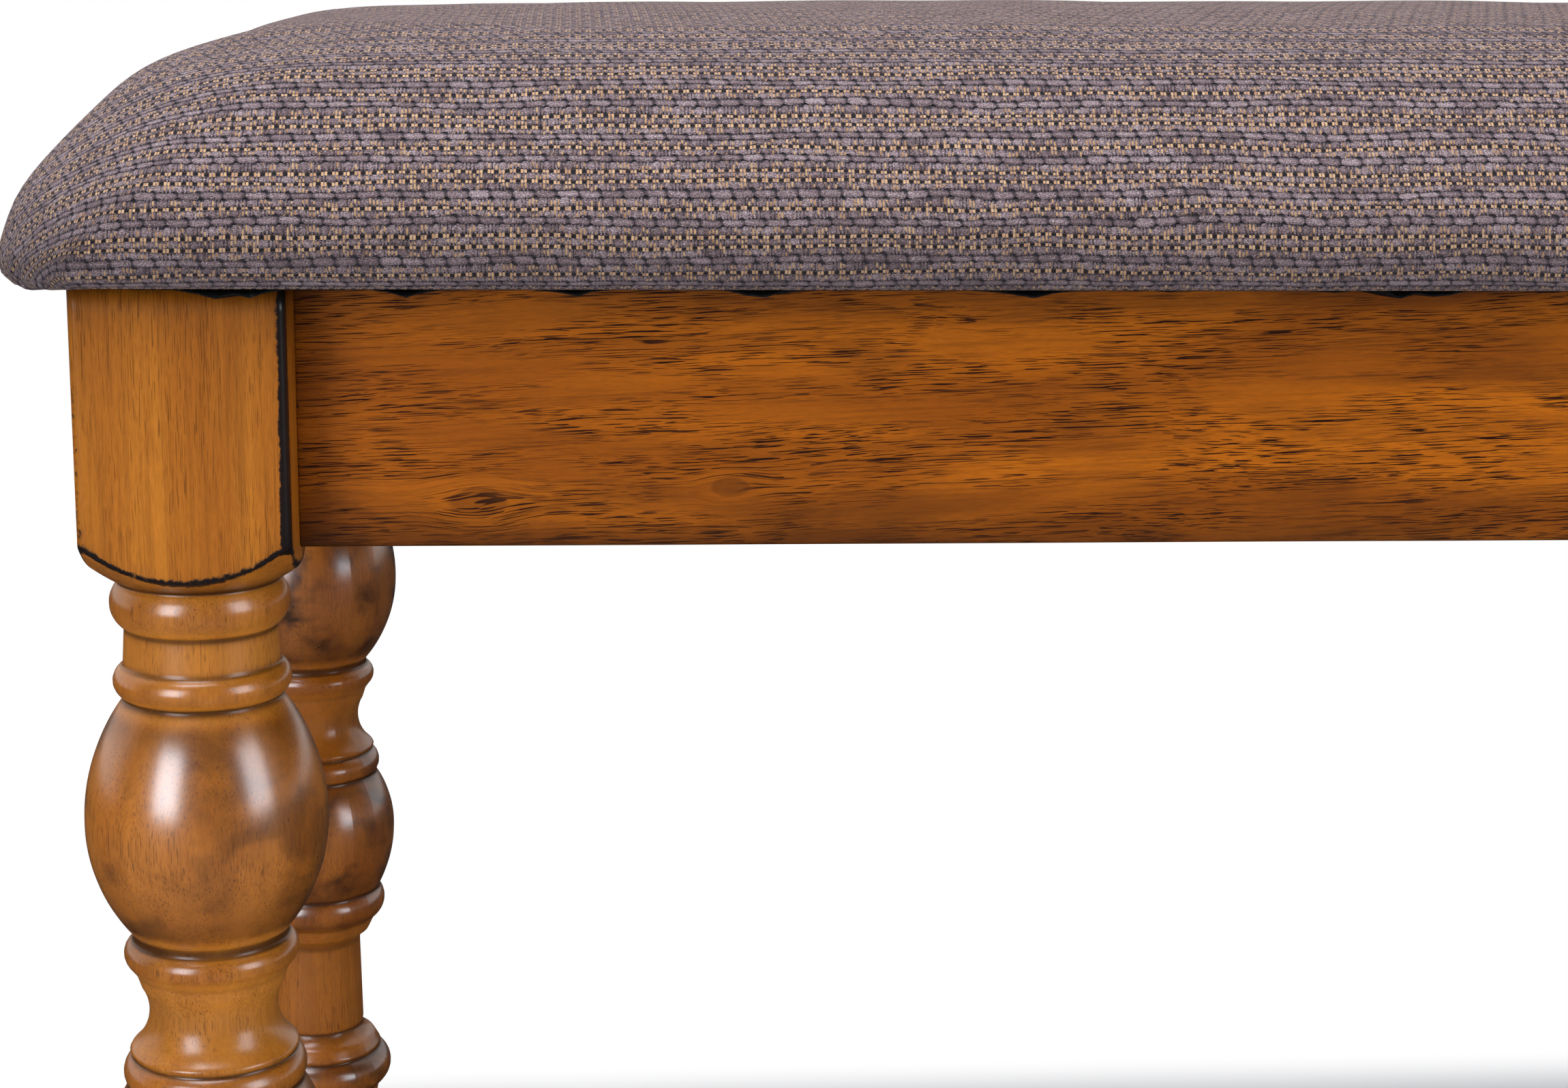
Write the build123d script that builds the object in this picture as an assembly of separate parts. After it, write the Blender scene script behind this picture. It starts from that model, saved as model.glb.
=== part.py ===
from build123d import *
import math
import os

# Dining bench: four turned legs, mortised aprons with corner blocks, and an upholstered seat.
# Millimetres. +X runs along the length, the front faces -Y, +Z is up and the floor is Z = 0.

# Overall sizes
seat_length = 1220.0
seat_depth = 406.0
frame_height = 412.0  # floor to the top of the legs and aprons
fabric_overhang = 18.0  # widest line of the pad past the outer faces of the legs
joint_clearance = 0.15  # each side of a tenon, a housed end or a fastener
soft_clearance = 0.3  # between layers of the upholstery
overrun = 5.0  # how far a cut runs past the face that it opens

# Leg: a square block that a dome cuts below, over a turning
block_width = 58.0
block_side_height = 71.0  # height of the block at its corners
dome_height = 15.5  # from there down to the turning
dome_swell = 3.3  # how far the dome stands out from a plain cone
block_arris = 2.6
bolt_flat = 9.0  # chamfer on the inner corner, which the corner block bears on
bulb_radius = 34.6
collar_share = 0.65  # radius where the turning leaves the block

# Turned members from the block down. Each row is the form, its share of the turned height, and
# its middle and end radii as shares of the large bulb's radius. A swell reaches its end radius
# upright, as the upper half of a bulb does, and a fall leaves it upright.
turning_shares = (
    ("arc", 0.0421, 0.728, 0.621),  # upper ring
    ("line", 0.0343, 0.633, 0.645),  # neck
    ("arc", 0.0290, 0.725, 0.636),  # ring over the large bulb
    ("swell", 0.1158, 0.900, 1.000),  # large bulb
    ("fall", 0.1107, 0.900, 0.645),
    ("arc", 0.0253, 0.723, 0.665),  # ring under it
    ("line", 0.0187, 0.632, 0.598),  # small band
    ("arc", 0.0574, 0.543, 0.679),  # cove
    ("line", 0.0091, 0.700, 0.723),  # lip
    ("arc", 0.0278, 0.768, 0.723),  # ring over the small bulb
    ("swell", 0.0736, 0.880, 0.925),  # small bulb
    ("fall", 0.0771, 0.880, 0.734),
    ("arc", 0.0359, 0.795, 0.708),  # ring under it
    ("line", 0.0203, 0.660, 0.607),  # small band
    ("arc", 0.0140, 0.528, 0.500),  # throat of the column
    ("line", 0.1092, 0.510, 0.520),  # column
    ("arc", 0.0172, 0.550, 0.630),  # flare at its base
    ("line", 0.0176, 0.670, 0.700),  # shoulder band
    ("arc", 0.0495, 0.829, 0.694),  # lowest ring
    ("line", 0.0437, 0.650, 0.619),  # ankle
    ("arc", 0.0718, 0.746, 0.607),  # foot
)

# Glides under the legs
glide_height = 5.0
glide_radius = 15.0
glide_bevel = 1.2
glide_pin_radius = 2.0
glide_pin_length = 16.0

# Aprons, with stub tenons let into the legs
apron_height = 77.0
apron_thickness = 20.0
apron_setback = 22.6  # from the legs' outer faces in to the apron's face
apron_arris = 2.0
tenon_length = 12.0
tenon_thickness = 9.0
tenon_shoulder = 11.0  # wood above and below a tenon

# Corner blocks, each screwed to two aprons and bolted to its leg
corner_block_thickness = 22.0
corner_block_height = 55.0
corner_screw_grip = 8.0  # wood between a screw's head and the apron
corner_screw_length = 22.0
bolt_radius = 3.0
bolt_grip = 24.0  # length inside the leg
bolt_end = 4.0  # length past the nut
washer_radius = 9.0
washer_thickness = 1.5
nut_width = 10.0  # across the flats
nut_thickness = 5.0

# Cross rails, housed in the long aprons
rail_spacing = 380.0
rail_thickness = 20.0
rail_height = 45.0
housing_depth = 6.0

# Screws that hold the seat down
screw_radius = 2.0
screw_head_radius = 3.75
screw_head_height = 2.4
screw_pocket_radius = 4.5
seat_screw_length = 44.0
seat_screw_bite = 9.0  # length inside the seat board
seat_screw_offset = 10.0  # from the bolt, along the corner block
rail_screw_spacing = 200.0
pilot_spare = 1.0  # depth of a blind hole past its screw's tip

# Seat, from the underside up
dust_cover_thickness = 0.6
dust_cover_inset = 5.0  # inside the pad's widest line
cover_thickness = 1.5
cover_hem = 42.0  # width of cover pulled under the board
board_thickness = 12.0
board_inset = 8.5
wadding_thickness = 4.0
pad_height = 70.4  # underside of the cover to the crown
crown_inset = 141.0  # from the widest line in to where the crown levels off
pad_corner_radius = 36.4
corner_growth_share = 0.46  # growth of that radius with the distance in from the edge
corner_limit_share = 0.85  # most of the half depth that a corner may round
side_draw_in = 3.0  # how far the long sides pull in between the corners
end_draw_in = 2.0

# The pad's side from its underside up: share of the crown's inset, of the height and of the draw-in
pad_side_shares = (
    (0.021, 0.000, 0.0),
    (0.000, 0.108, 0.0),
    (0.023, 0.304, 0.5),
    (0.087, 0.474, 1.0),
    (0.157, 0.631, 1.0),
    (0.248, 0.787, 1.0),
    (0.440, 0.895, 1.0),
    (0.740, 0.966, 1.0),
    (1.000, 1.000, 1.0),
)

# Places worked out from the sizes above, for the corner at -X and -Y
frame_x = seat_length / 2 - fabric_overhang  # outer faces of the legs
frame_y = seat_depth / 2 - fabric_overhang
leg_x = frame_x - block_width / 2
leg_y = frame_y - block_width / 2
leg_inner_x = frame_x - block_width
leg_inner_y = frame_y - block_width
apron_inner_x = frame_x - apron_setback - apron_thickness
apron_inner_y = frame_y - apron_setback - apron_thickness
turning_top = frame_height - block_side_height - dome_height
tenon_height = apron_height - 2 * tenon_shoulder
apron_middle = frame_height - apron_height / 2
corner_block_middle = frame_height - corner_block_height / 2
pad_z = frame_height + dust_cover_thickness
board_z = pad_z + cover_thickness
screw_seat_z = board_z + seat_screw_bite - seat_screw_length
flat_x = -leg_inner_x - bolt_flat / 2
flat_y = -leg_inner_y - bolt_flat / 2

corner_names = {"front_left": (-1, -1), "front_right": (1, -1), "rear_left": (-1, 1), "rear_right": (1, 1)}
bolt_plane = Plane(origin=(flat_x, flat_y, corner_block_middle), x_dir=(0, 0, 1), z_dir=(1, 1, 0))
standing = (Align.CENTER, Align.CENTER, Align.MIN)
hanging = (Align.CENTER, Align.CENTER, Align.MAX)


def to_corner(shape, side_x, side_y):
    """Mirror a shape made for the corner at -X and -Y to the corner on the given sides."""
    if side_x > 0:
        shape = mirror(shape, Plane.YZ)
    if side_y > 0:
        shape = mirror(shape, Plane.XZ)
    return shape


def at_corners(shape):
    """The same shape at all four corners, as separate solids."""
    return [to_corner(shape, x, y) for x, y in corner_names.values()]


def turned_face(top, foot):
    """Half outline of the turning, member by member from the block down to the foot."""
    radius = collar_share * bulb_radius
    edges = [Line((0, 0, top), (radius, 0, top))]
    height = top
    whole = (top - foot) / sum(row[1] for row in turning_shares)
    for form, height_share, middle_share, end_share in turning_shares:
        start = (radius, 0, height)
        middle = (middle_share * bulb_radius, 0, height - height_share * whole / 2)
        height -= height_share * whole
        radius = end_share * bulb_radius
        end = (radius, 0, height)
        if form == "line":
            edges.append(Line(start, end))
        elif form == "arc":
            edges.append(ThreePointArc(start, middle, end))
        elif form == "swell":
            edges.append(TangentArc(end, start, tangent=(0, 0, 1)))
        else:
            edges.append(TangentArc(start, end, tangent=(0, 0, -1)))
    edges.append(Line((radius, 0, height), (0, 0, height)))
    edges.append(Line((0, 0, height), (0, 0, top)))
    return make_face(edges)


def dome_face():
    """Half outline of the dome that cuts the block's underside."""
    corner = block_width / math.sqrt(2)
    collar = collar_share * bulb_radius
    side = frame_height - block_side_height
    run = corner - collar
    slope = math.hypot(run, dome_height)
    middle_x = (corner + collar) / 2 + dome_swell * dome_height / slope
    middle_z = side - dome_height / 2 - dome_swell * run / slope
    edges = [
        Line((0, 0, frame_height), (corner, 0, frame_height)),
        Line((corner, 0, frame_height), (corner, 0, side)),
        ThreePointArc((corner, 0, side), (middle_x, 0, middle_z), (collar, 0, turning_top)),
        Line((collar, 0, turning_top), (0, 0, turning_top)),
        Line((0, 0, turning_top), (0, 0, frame_height)),
    ]
    return make_face(edges)


def leg_block():
    """Square block with eased arrises, a flat on its inner corner and a domed underside."""
    height = frame_height - turning_top
    block = Pos(0, 0, frame_height) * Box(block_width, block_width, height, align=hanging)
    arrises = block.edges().filter_by(Axis.Z).sort_by(lambda edge: (edge @ 0.5).X + (edge @ 0.5).Y)
    block = chamfer(arrises[-1], bolt_flat)
    arrises = block.edges().filter_by(Axis.Z).sort_by(lambda edge: (edge @ 0.5).X + (edge @ 0.5).Y)
    block = fillet(arrises[:3], block_arris)
    return block & revolve(dome_face(), Axis.Z)


def mortises():
    """Two mortises in the inner faces of the leg, each a clearance larger than its tenon."""
    inward = tenon_length + overrun
    width = tenon_thickness + 2 * joint_clearance
    height = tenon_height + 2 * joint_clearance
    start = block_width / 2 - tenon_length - joint_clearance
    across = apron_setback + apron_thickness / 2 - block_width / 2
    along_x = Pos(start + inward / 2, across, apron_middle) * Box(inward, width, height)
    along_y = Pos(across, start + inward / 2, apron_middle) * Box(width, inward, height)
    return along_x + along_y


def leg():
    """Leg for the corner at -X and -Y, with its mortises, bolt hole and glide hole."""
    foot = glide_height
    body = leg_block() + revolve(turned_face(turning_top, foot), Axis.Z)
    body = body - mortises()
    pin_hole = Cylinder(glide_pin_radius + joint_clearance, glide_pin_length + pilot_spare, align=standing)
    body = body - Pos(0, 0, foot) * pin_hole
    body = Pos(-leg_x, -leg_y, 0) * body
    bolt_hole = Cylinder(bolt_radius + joint_clearance, bolt_grip + pilot_spare, align=hanging)
    return body - bolt_plane * bolt_hole


def glide():
    """Round glide with a pin driven up into the foot."""
    pad = Cylinder(glide_radius, glide_height, align=standing)
    pad = chamfer(pad.edges().group_by(Axis.Z)[0], glide_bevel)
    pin = Cylinder(glide_pin_radius, glide_height + glide_pin_length, align=standing)
    return Pos(-leg_x, -leg_y, 0) * (pad + pin)


def apron(length):
    """Apron along X, centred, its face at Y = 0 towards -Y, with a tenon at each end."""
    board = Box(length, apron_thickness, apron_height, align=(Align.CENTER, Align.MIN, Align.CENTER))
    lower = board.edges().filter_by(Axis.X).group_by(Axis.Z)[0].sort_by(Axis.Y)[0]
    board = fillet(lower, apron_arris)
    tongue = Box(length + 2 * tenon_length, tenon_thickness, tenon_height)
    return board + Pos(0, apron_thickness / 2, 0) * tongue


def corner_screw_places():
    """Planes at the middle of the corner block's two ends, facing into the aprons."""
    middle = corner_block_thickness / math.sqrt(2) + flat_x + flat_y
    front = (middle + apron_inner_y, -apron_inner_y, corner_block_middle)
    side = (-apron_inner_x, middle + apron_inner_x, corner_block_middle)
    upright = (0, 0, 1)
    return [
        Plane(origin=front, x_dir=upright, z_dir=(0, -1, 0)),
        Plane(origin=side, x_dir=upright, z_dir=(-1, 0, 0)),
    ]


def screw(length):
    """Round-headed screw along +Z, with the underside of its head at Z = 0."""
    shank = Cylinder(screw_radius, length, align=standing)
    head = Cylinder(screw_head_radius, screw_head_height, align=hanging)
    return shank + head


def screw_hole(length, head_way):
    """Clearance hole for a screw along +Z, with a pocket for its head open on the -Z side."""
    shank = Cylinder(screw_radius + joint_clearance, length + pilot_spare, align=standing)
    pocket = Cylinder(screw_pocket_radius, head_way, align=hanging)
    return shank + pocket


def corner_screws(tool):
    """A screw, or its hole, at each place through the front-left corner block."""
    shift = Pos(0, 0, -corner_screw_grip)
    return [place * (shift * tool) for place in corner_screw_places()]


def seat_screw_points():
    """Plan positions of the seat screws: one in each corner block and two in each cross rail."""
    reach = (corner_block_thickness / 2) / math.sqrt(2)
    aside = seat_screw_offset / math.sqrt(2)
    corner = (flat_x + reach + aside, flat_y + reach - aside)
    points = [(-x * corner[0], -y * corner[1]) for x, y in corner_names.values()]
    for x in (-rail_spacing / 2, rail_spacing / 2):
        for y in (-rail_screw_spacing / 2, rail_screw_spacing / 2):
            points.append((x, y))
    return points


def seat_screw_tools(tool):
    """A screw, or its hole, standing at each seat screw's place."""
    return [Pos(x, y, screw_seat_z) * tool for x, y in seat_screw_points()]


def corner_block():
    """Block across the corner at -X and -Y, seated on both aprons and the leg's flat."""
    outer = flat_x + flat_y
    inner = outer + corner_block_thickness * math.sqrt(2)
    points = [
        (-apron_inner_x, outer + apron_inner_x),
        (outer + apron_inner_y, -apron_inner_y),
        (inner + apron_inner_y, -apron_inner_y),
        (-apron_inner_x, inner + apron_inner_x),
    ]
    top = Pos(0, 0, frame_height) * make_face(Polyline(*points, close=True))
    block = extrude(top, amount=corner_block_height, dir=(0, 0, -1))
    bolt_way = Cylinder(bolt_radius + joint_clearance, corner_block_thickness + overrun, align=standing)
    block = block - bolt_plane * bolt_way
    hole = screw_hole(corner_screw_length, corner_block_thickness)
    block = block - corner_screws(hole)
    return block - seat_screw_tools(screw_hole(seat_screw_length, corner_block_height))


def housings():
    """Slots for the ends of the cross rails, in the front apron's inner face."""
    width = rail_thickness + 2 * joint_clearance
    depth = housing_depth + overrun
    height = rail_height + overrun
    slot = Box(width, depth, height, align=(Align.CENTER, Align.MIN, Align.MIN))
    y = -apron_inner_y - housing_depth - joint_clearance
    return [Pos(x, y, frame_height - rail_height) * slot for x in (-rail_spacing / 2, rail_spacing / 2)]


def long_apron():
    """Front apron, with housings for the cross rails and holes for the corner blocks' screws."""
    board = Pos(0, -apron_inner_y - apron_thickness, apron_middle) * apron(2 * leg_inner_x)
    holes = corner_screws(screw_hole(corner_screw_length, screw_head_height))
    holes += [mirror(hole, Plane.YZ) for hole in holes]
    return board - housings() - holes


def end_apron():
    """Apron at the -X end, with holes for the corner blocks' screws."""
    board = Rot(0, 0, -90) * apron(2 * leg_inner_y)
    board = Pos(-apron_inner_x - apron_thickness, 0, apron_middle) * board
    holes = corner_screws(screw_hole(corner_screw_length, screw_head_height))
    holes += [mirror(hole, Plane.XZ) for hole in holes]
    return board - holes


def cross_rail(x):
    """Rail from the front apron to the rear one, under the seat board."""
    length = 2 * (apron_inner_y + housing_depth)
    rail = Pos(x, 0, frame_height) * Box(rail_thickness, length, rail_height, align=hanging)
    return rail - seat_screw_tools(screw_hole(seat_screw_length, rail_height))


def hanger_bolt():
    """Bolt from inside the leg, through the corner block, to past its nut."""
    length = bolt_grip + corner_block_thickness + washer_thickness + nut_thickness + bolt_end
    return bolt_plane * (Pos(0, 0, -bolt_grip) * Cylinder(bolt_radius, length, align=standing))


def bolt_washer():
    """Washer on the inner face of the corner block."""
    ring = Cylinder(washer_radius, washer_thickness, align=standing)
    ring = ring - Cylinder(bolt_radius + joint_clearance, washer_thickness, align=standing)
    return bolt_plane * (Pos(0, 0, corner_block_thickness) * ring)


def bolt_nut():
    """Hexagon nut over the washer."""
    hexagon = RegularPolygon(nut_width / 2, 6, major_radius=False)
    nut = extrude(hexagon, amount=nut_thickness)
    nut = nut - Cylinder(bolt_radius + joint_clearance, nut_thickness, align=standing)
    return bolt_plane * (Pos(0, 0, corner_block_thickness + washer_thickness) * nut)


def pad_side(skin):
    """Inset, height, corner radius and draw-in share of each level, a skin's thickness inside the pad."""
    points = [(i * crown_inset, h * pad_height) for i, h, _ in pad_side_shares]
    levels = []
    for number, (inset, height) in enumerate(points):
        before = points[max(number - 1, 0)]
        after = points[min(number + 1, len(points) - 1)]
        run, rise = after[0] - before[0], after[1] - before[1]
        length = math.hypot(run, rise)
        radius = pad_corner_radius + corner_growth_share * inset - skin
        inner_inset = inset + skin * rise / length
        inner_height = height - skin * run / length
        levels.append([inner_inset, inner_height, radius, pad_side_shares[number][2]])
    levels[0][1] = cover_thickness if skin else 0
    levels[-1][0], levels[-1][1] = crown_inset, pad_height - skin
    return levels


def pad_wall(start, end, inward):
    """One side of a level: straight, or an arc pulled in at its middle."""
    if inward.length == 0:
        return Line(start, end)
    middle = (Vector(*start) + Vector(*end)) * 0.5 + inward
    return ThreePointArc(start, middle, end)


def pad_level(inset, height, radius, draw_share):
    """Closed outline of the pad at one height: four sides joined by round corners."""
    x, y, z = seat_length / 2 - inset, seat_depth / 2 - inset, pad_z + height
    side, end = side_draw_in * draw_share, end_draw_in * draw_share
    radius = min(radius, corner_limit_share * y)
    near_x, near_y = x - radius, y - radius
    bend = radius * math.sqrt(0.5)
    edges = [
        pad_wall((-near_x, -y, z), (near_x, -y, z), Vector(0, side, 0)),
        pad_wall((x, -near_y, z), (x, near_y, z), Vector(-end, 0, 0)),
        pad_wall((near_x, y, z), (-near_x, y, z), Vector(0, -side, 0)),
        pad_wall((-x, near_y, z), (-x, -near_y, z), Vector(end, 0, 0)),
    ]
    corners = []
    for side_x, side_y in ((1, -1), (1, 1), (-1, 1), (-1, -1)):
        middle = (side_x * (near_x + bend), side_y * (near_y + bend), z)
        ends = [(side_x * near_x, side_y * y, z), (side_x * x, side_y * near_y, z)]
        corners.append(ThreePointArc(ends[0], middle, ends[1]))
    return Wire([edge for pair in zip(edges, corners) for edge in pair])


def pad_form(skin):
    """Crowned pad with drawn-in sides, a skin's thickness inside the cover's outer surface."""
    return Solid.make_loft([pad_level(*level) for level in pad_side(skin)], ruled=True)


def plate(inset, radius, bottom, thickness):
    """Flat plate with round corners, an inset inside the pad's widest line."""
    outline = RectangleRounded(seat_length - 2 * inset, seat_depth - 2 * inset, radius)
    return extrude(Pos(0, 0, bottom) * outline, amount=thickness)


def seat_cover():
    """Fabric cover over the pad, with its hem pulled under the board."""
    cavity = pad_form(cover_thickness)
    radius = pad_corner_radius - cover_hem / 2
    opening = plate(cover_hem, radius, pad_z - overrun, cover_thickness + 2 * overrun)
    return pad_form(0) - cavity - opening


def seat_wadding():
    """Wadding between the cover and the foam, down to the underside of the board."""
    outer = cover_thickness + soft_clearance
    return pad_form(outer) - pad_form(outer + wadding_thickness)


def seat_foam():
    """Crowned foam on the seat board."""
    form = pad_form(cover_thickness + wadding_thickness + 2 * soft_clearance)
    below = plate(-overrun, pad_corner_radius, pad_z - overrun, board_z - pad_z + board_thickness + overrun)
    return form - below


def seat_board():
    """Seat board with blind holes for the seat screws."""
    board = plate(board_inset, pad_corner_radius, board_z, board_thickness)
    return board - seat_screw_tools(screw_hole(seat_screw_length, screw_head_height))


def dust_cover():
    """Black cloth under the board, pierced by the seat screws."""
    radius = pad_corner_radius - dust_cover_inset
    cloth = plate(dust_cover_inset, radius, frame_height, dust_cover_thickness)
    return cloth - seat_screw_tools(screw_hole(seat_screw_length, screw_head_height))


def build():
    """Every node of the bench by name, each as a list of solids."""
    nodes = {}
    for corner, (x, y) in corner_names.items():
        nodes["leg_" + corner] = [to_corner(leg(), x, y)]
        nodes["glide_" + corner] = [to_corner(glide(), x, y)]
        nodes["corner_block_" + corner] = [to_corner(corner_block(), x, y)]
    nodes["front_apron"] = [long_apron()]
    nodes["rear_apron"] = [mirror(long_apron(), Plane.XZ)]
    nodes["left_apron"] = [end_apron()]
    nodes["right_apron"] = [mirror(end_apron(), Plane.YZ)]
    nodes["left_cross_rail"] = [cross_rail(-rail_spacing / 2)]
    nodes["right_cross_rail"] = [cross_rail(rail_spacing / 2)]
    nodes["hanger_bolts"] = at_corners(hanger_bolt())
    nodes["hanger_bolt_washers"] = at_corners(bolt_washer())
    nodes["hanger_bolt_nuts"] = at_corners(bolt_nut())
    nodes["corner_block_screws"] = [s for one in corner_screws(screw(corner_screw_length)) for s in at_corners(one)]
    nodes["seat_screws"] = seat_screw_tools(screw(seat_screw_length))
    nodes["seat_board"] = [seat_board()]
    nodes["seat_foam"] = [seat_foam()]
    nodes["seat_wadding"] = [seat_wadding()]
    nodes["seat_cover"] = [seat_cover()]
    nodes["dust_cover"] = [dust_cover()]
    return nodes


os.makedirs("parts", exist_ok=True)
for name, shapes in build().items():
    solids = [solid for shape in shapes for solid in shape.solids()]
    export_step(solids[0] if len(solids) == 1 else Compound(solids), "parts/" + name + ".step")
    print(name, len(solids))
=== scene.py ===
"""Dining bench: turned legs, stained aprons and a crowned seat in a chenille basket weave.

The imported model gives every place. Shapes are worked out in millimetres and put into the
meshes in metres.
"""

import logging
import math
from dataclasses import dataclass, replace
from enum import Enum

import bpy
import numpy as np
from mathutils import Matrix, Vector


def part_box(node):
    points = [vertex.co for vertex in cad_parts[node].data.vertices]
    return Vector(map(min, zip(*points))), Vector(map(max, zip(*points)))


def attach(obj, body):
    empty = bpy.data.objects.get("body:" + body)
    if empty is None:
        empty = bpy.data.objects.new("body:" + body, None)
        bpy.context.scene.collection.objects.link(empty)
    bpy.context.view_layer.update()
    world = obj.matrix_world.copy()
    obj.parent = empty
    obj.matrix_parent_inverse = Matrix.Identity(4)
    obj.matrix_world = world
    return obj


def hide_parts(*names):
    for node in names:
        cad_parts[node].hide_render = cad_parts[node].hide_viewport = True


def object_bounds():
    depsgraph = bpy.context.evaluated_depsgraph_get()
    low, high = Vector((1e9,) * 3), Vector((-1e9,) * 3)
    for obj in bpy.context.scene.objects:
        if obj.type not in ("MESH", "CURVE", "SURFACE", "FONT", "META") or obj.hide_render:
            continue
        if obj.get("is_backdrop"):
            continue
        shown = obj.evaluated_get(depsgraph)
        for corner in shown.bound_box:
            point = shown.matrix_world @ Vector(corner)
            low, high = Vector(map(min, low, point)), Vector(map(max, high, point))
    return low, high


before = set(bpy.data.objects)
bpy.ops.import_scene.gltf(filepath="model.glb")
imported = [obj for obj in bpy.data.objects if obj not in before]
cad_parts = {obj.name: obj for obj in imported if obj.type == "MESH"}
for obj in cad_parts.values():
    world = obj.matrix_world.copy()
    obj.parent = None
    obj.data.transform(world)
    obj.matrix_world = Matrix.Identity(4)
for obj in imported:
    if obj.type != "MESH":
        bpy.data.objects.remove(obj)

MM = 0.001
BODY = "root"
LOG = logging.getLogger("dining_bench")

Colour = tuple[int, int, int]
Place = tuple[float, float, float]
Socket = bpy.types.NodeSocket


def linear(colour: Colour) -> tuple[float, float, float, float]:
    """Turn a display colour of 0 to 255 into the linear colour that a socket takes.

    Args:
        colour: Red, green and blue as a display shows them.

    Returns:
        Linear red, green, blue and an alpha of one.
    """
    shares = np.array(colour) / 255
    low, high = shares / 12.92, ((shares + 0.055) / 1.055) ** 2.4
    return (*np.where(shares <= 0.04045, low, high).tolist(), 1.0)


class Value:
    """A number socket whose arithmetic adds the nodes that work it out."""

    def __init__(self, graph: "Graph", socket: Socket) -> None:
        """Wrap a socket.

        Args:
            graph: The graph that the socket is in.
            socket: The socket.
        """
        self.graph = graph
        self.socket = socket

    def math(self, operation: str, first: "Number", second: "Number" = 0.0) -> "Value":
        """Add one Math node.

        Args:
            operation: The node's operation.
            first: Its first operand.
            second: Its second operand, where it has one.

        Returns:
            The node's result.
        """
        inputs = {"Value": first, "Value_001": second}
        return self.graph.value("ShaderNodeMath", "Value", inputs, operation=operation)

    def __add__(self, other: "Number") -> "Value":
        """Sum of this and the other."""
        return self.math("ADD", self, other)

    def __radd__(self, other: "Number") -> "Value":
        """Sum of the other and this."""
        return self.math("ADD", other, self)

    def __sub__(self, other: "Number") -> "Value":
        """This less the other."""
        return self.math("SUBTRACT", self, other)

    def __rsub__(self, other: "Number") -> "Value":
        """The other less this."""
        return self.math("SUBTRACT", other, self)

    def __mul__(self, other: "Number") -> "Value":
        """Product of this and the other."""
        return self.math("MULTIPLY", self, other)

    def __rmul__(self, other: "Number") -> "Value":
        """Product of the other and this."""
        return self.math("MULTIPLY", other, self)

    def __truediv__(self, other: "Number") -> "Value":
        """This over the other."""
        return self.math("DIVIDE", self, other)

    def __abs__(self) -> "Value":
        """Size of this without its sign."""
        return self.math("ABSOLUTE", self)

    def part(self) -> "Value":
        """What is left above the whole number below this."""
        return self.math("FRACT", self)

    def whole(self) -> "Value":
        """The whole number below this."""
        return self.math("FLOOR", self)

    def least(self, other: "Number") -> "Value":
        """The smaller of this and the other."""
        return self.math("MINIMUM", self, other)

    def most(self, other: "Number") -> "Value":
        """The larger of this and the other."""
        return self.math("MAXIMUM", self, other)

    def root(self) -> "Value":
        """Square root of this."""
        return self.math("SQRT", self)

    def above(self, edge: float) -> "Value":
        """One where this is above the edge, and zero elsewhere."""
        return self.math("GREATER_THAN", self, edge)

    def rise(self, low: float, high: float) -> "Value":
        """Ease from zero to one as this goes from low to high.

        Args:
            low: Value at which the result leaves zero.
            high: Value at which it reaches one.

        Returns:
            The eased share.
        """
        inputs = {"Value": self, "From Min": low, "From Max": high}
        settings = {"interpolation_type": "SMOOTHSTEP"}
        return self.graph.value("ShaderNodeMapRange", "Result", inputs, **settings)

    def fall(self, low: float, high: float) -> "Value":
        """Ease from one to zero as this goes from low to high."""
        return 1.0 - self.rise(low, high)


Number = Value | float


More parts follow.
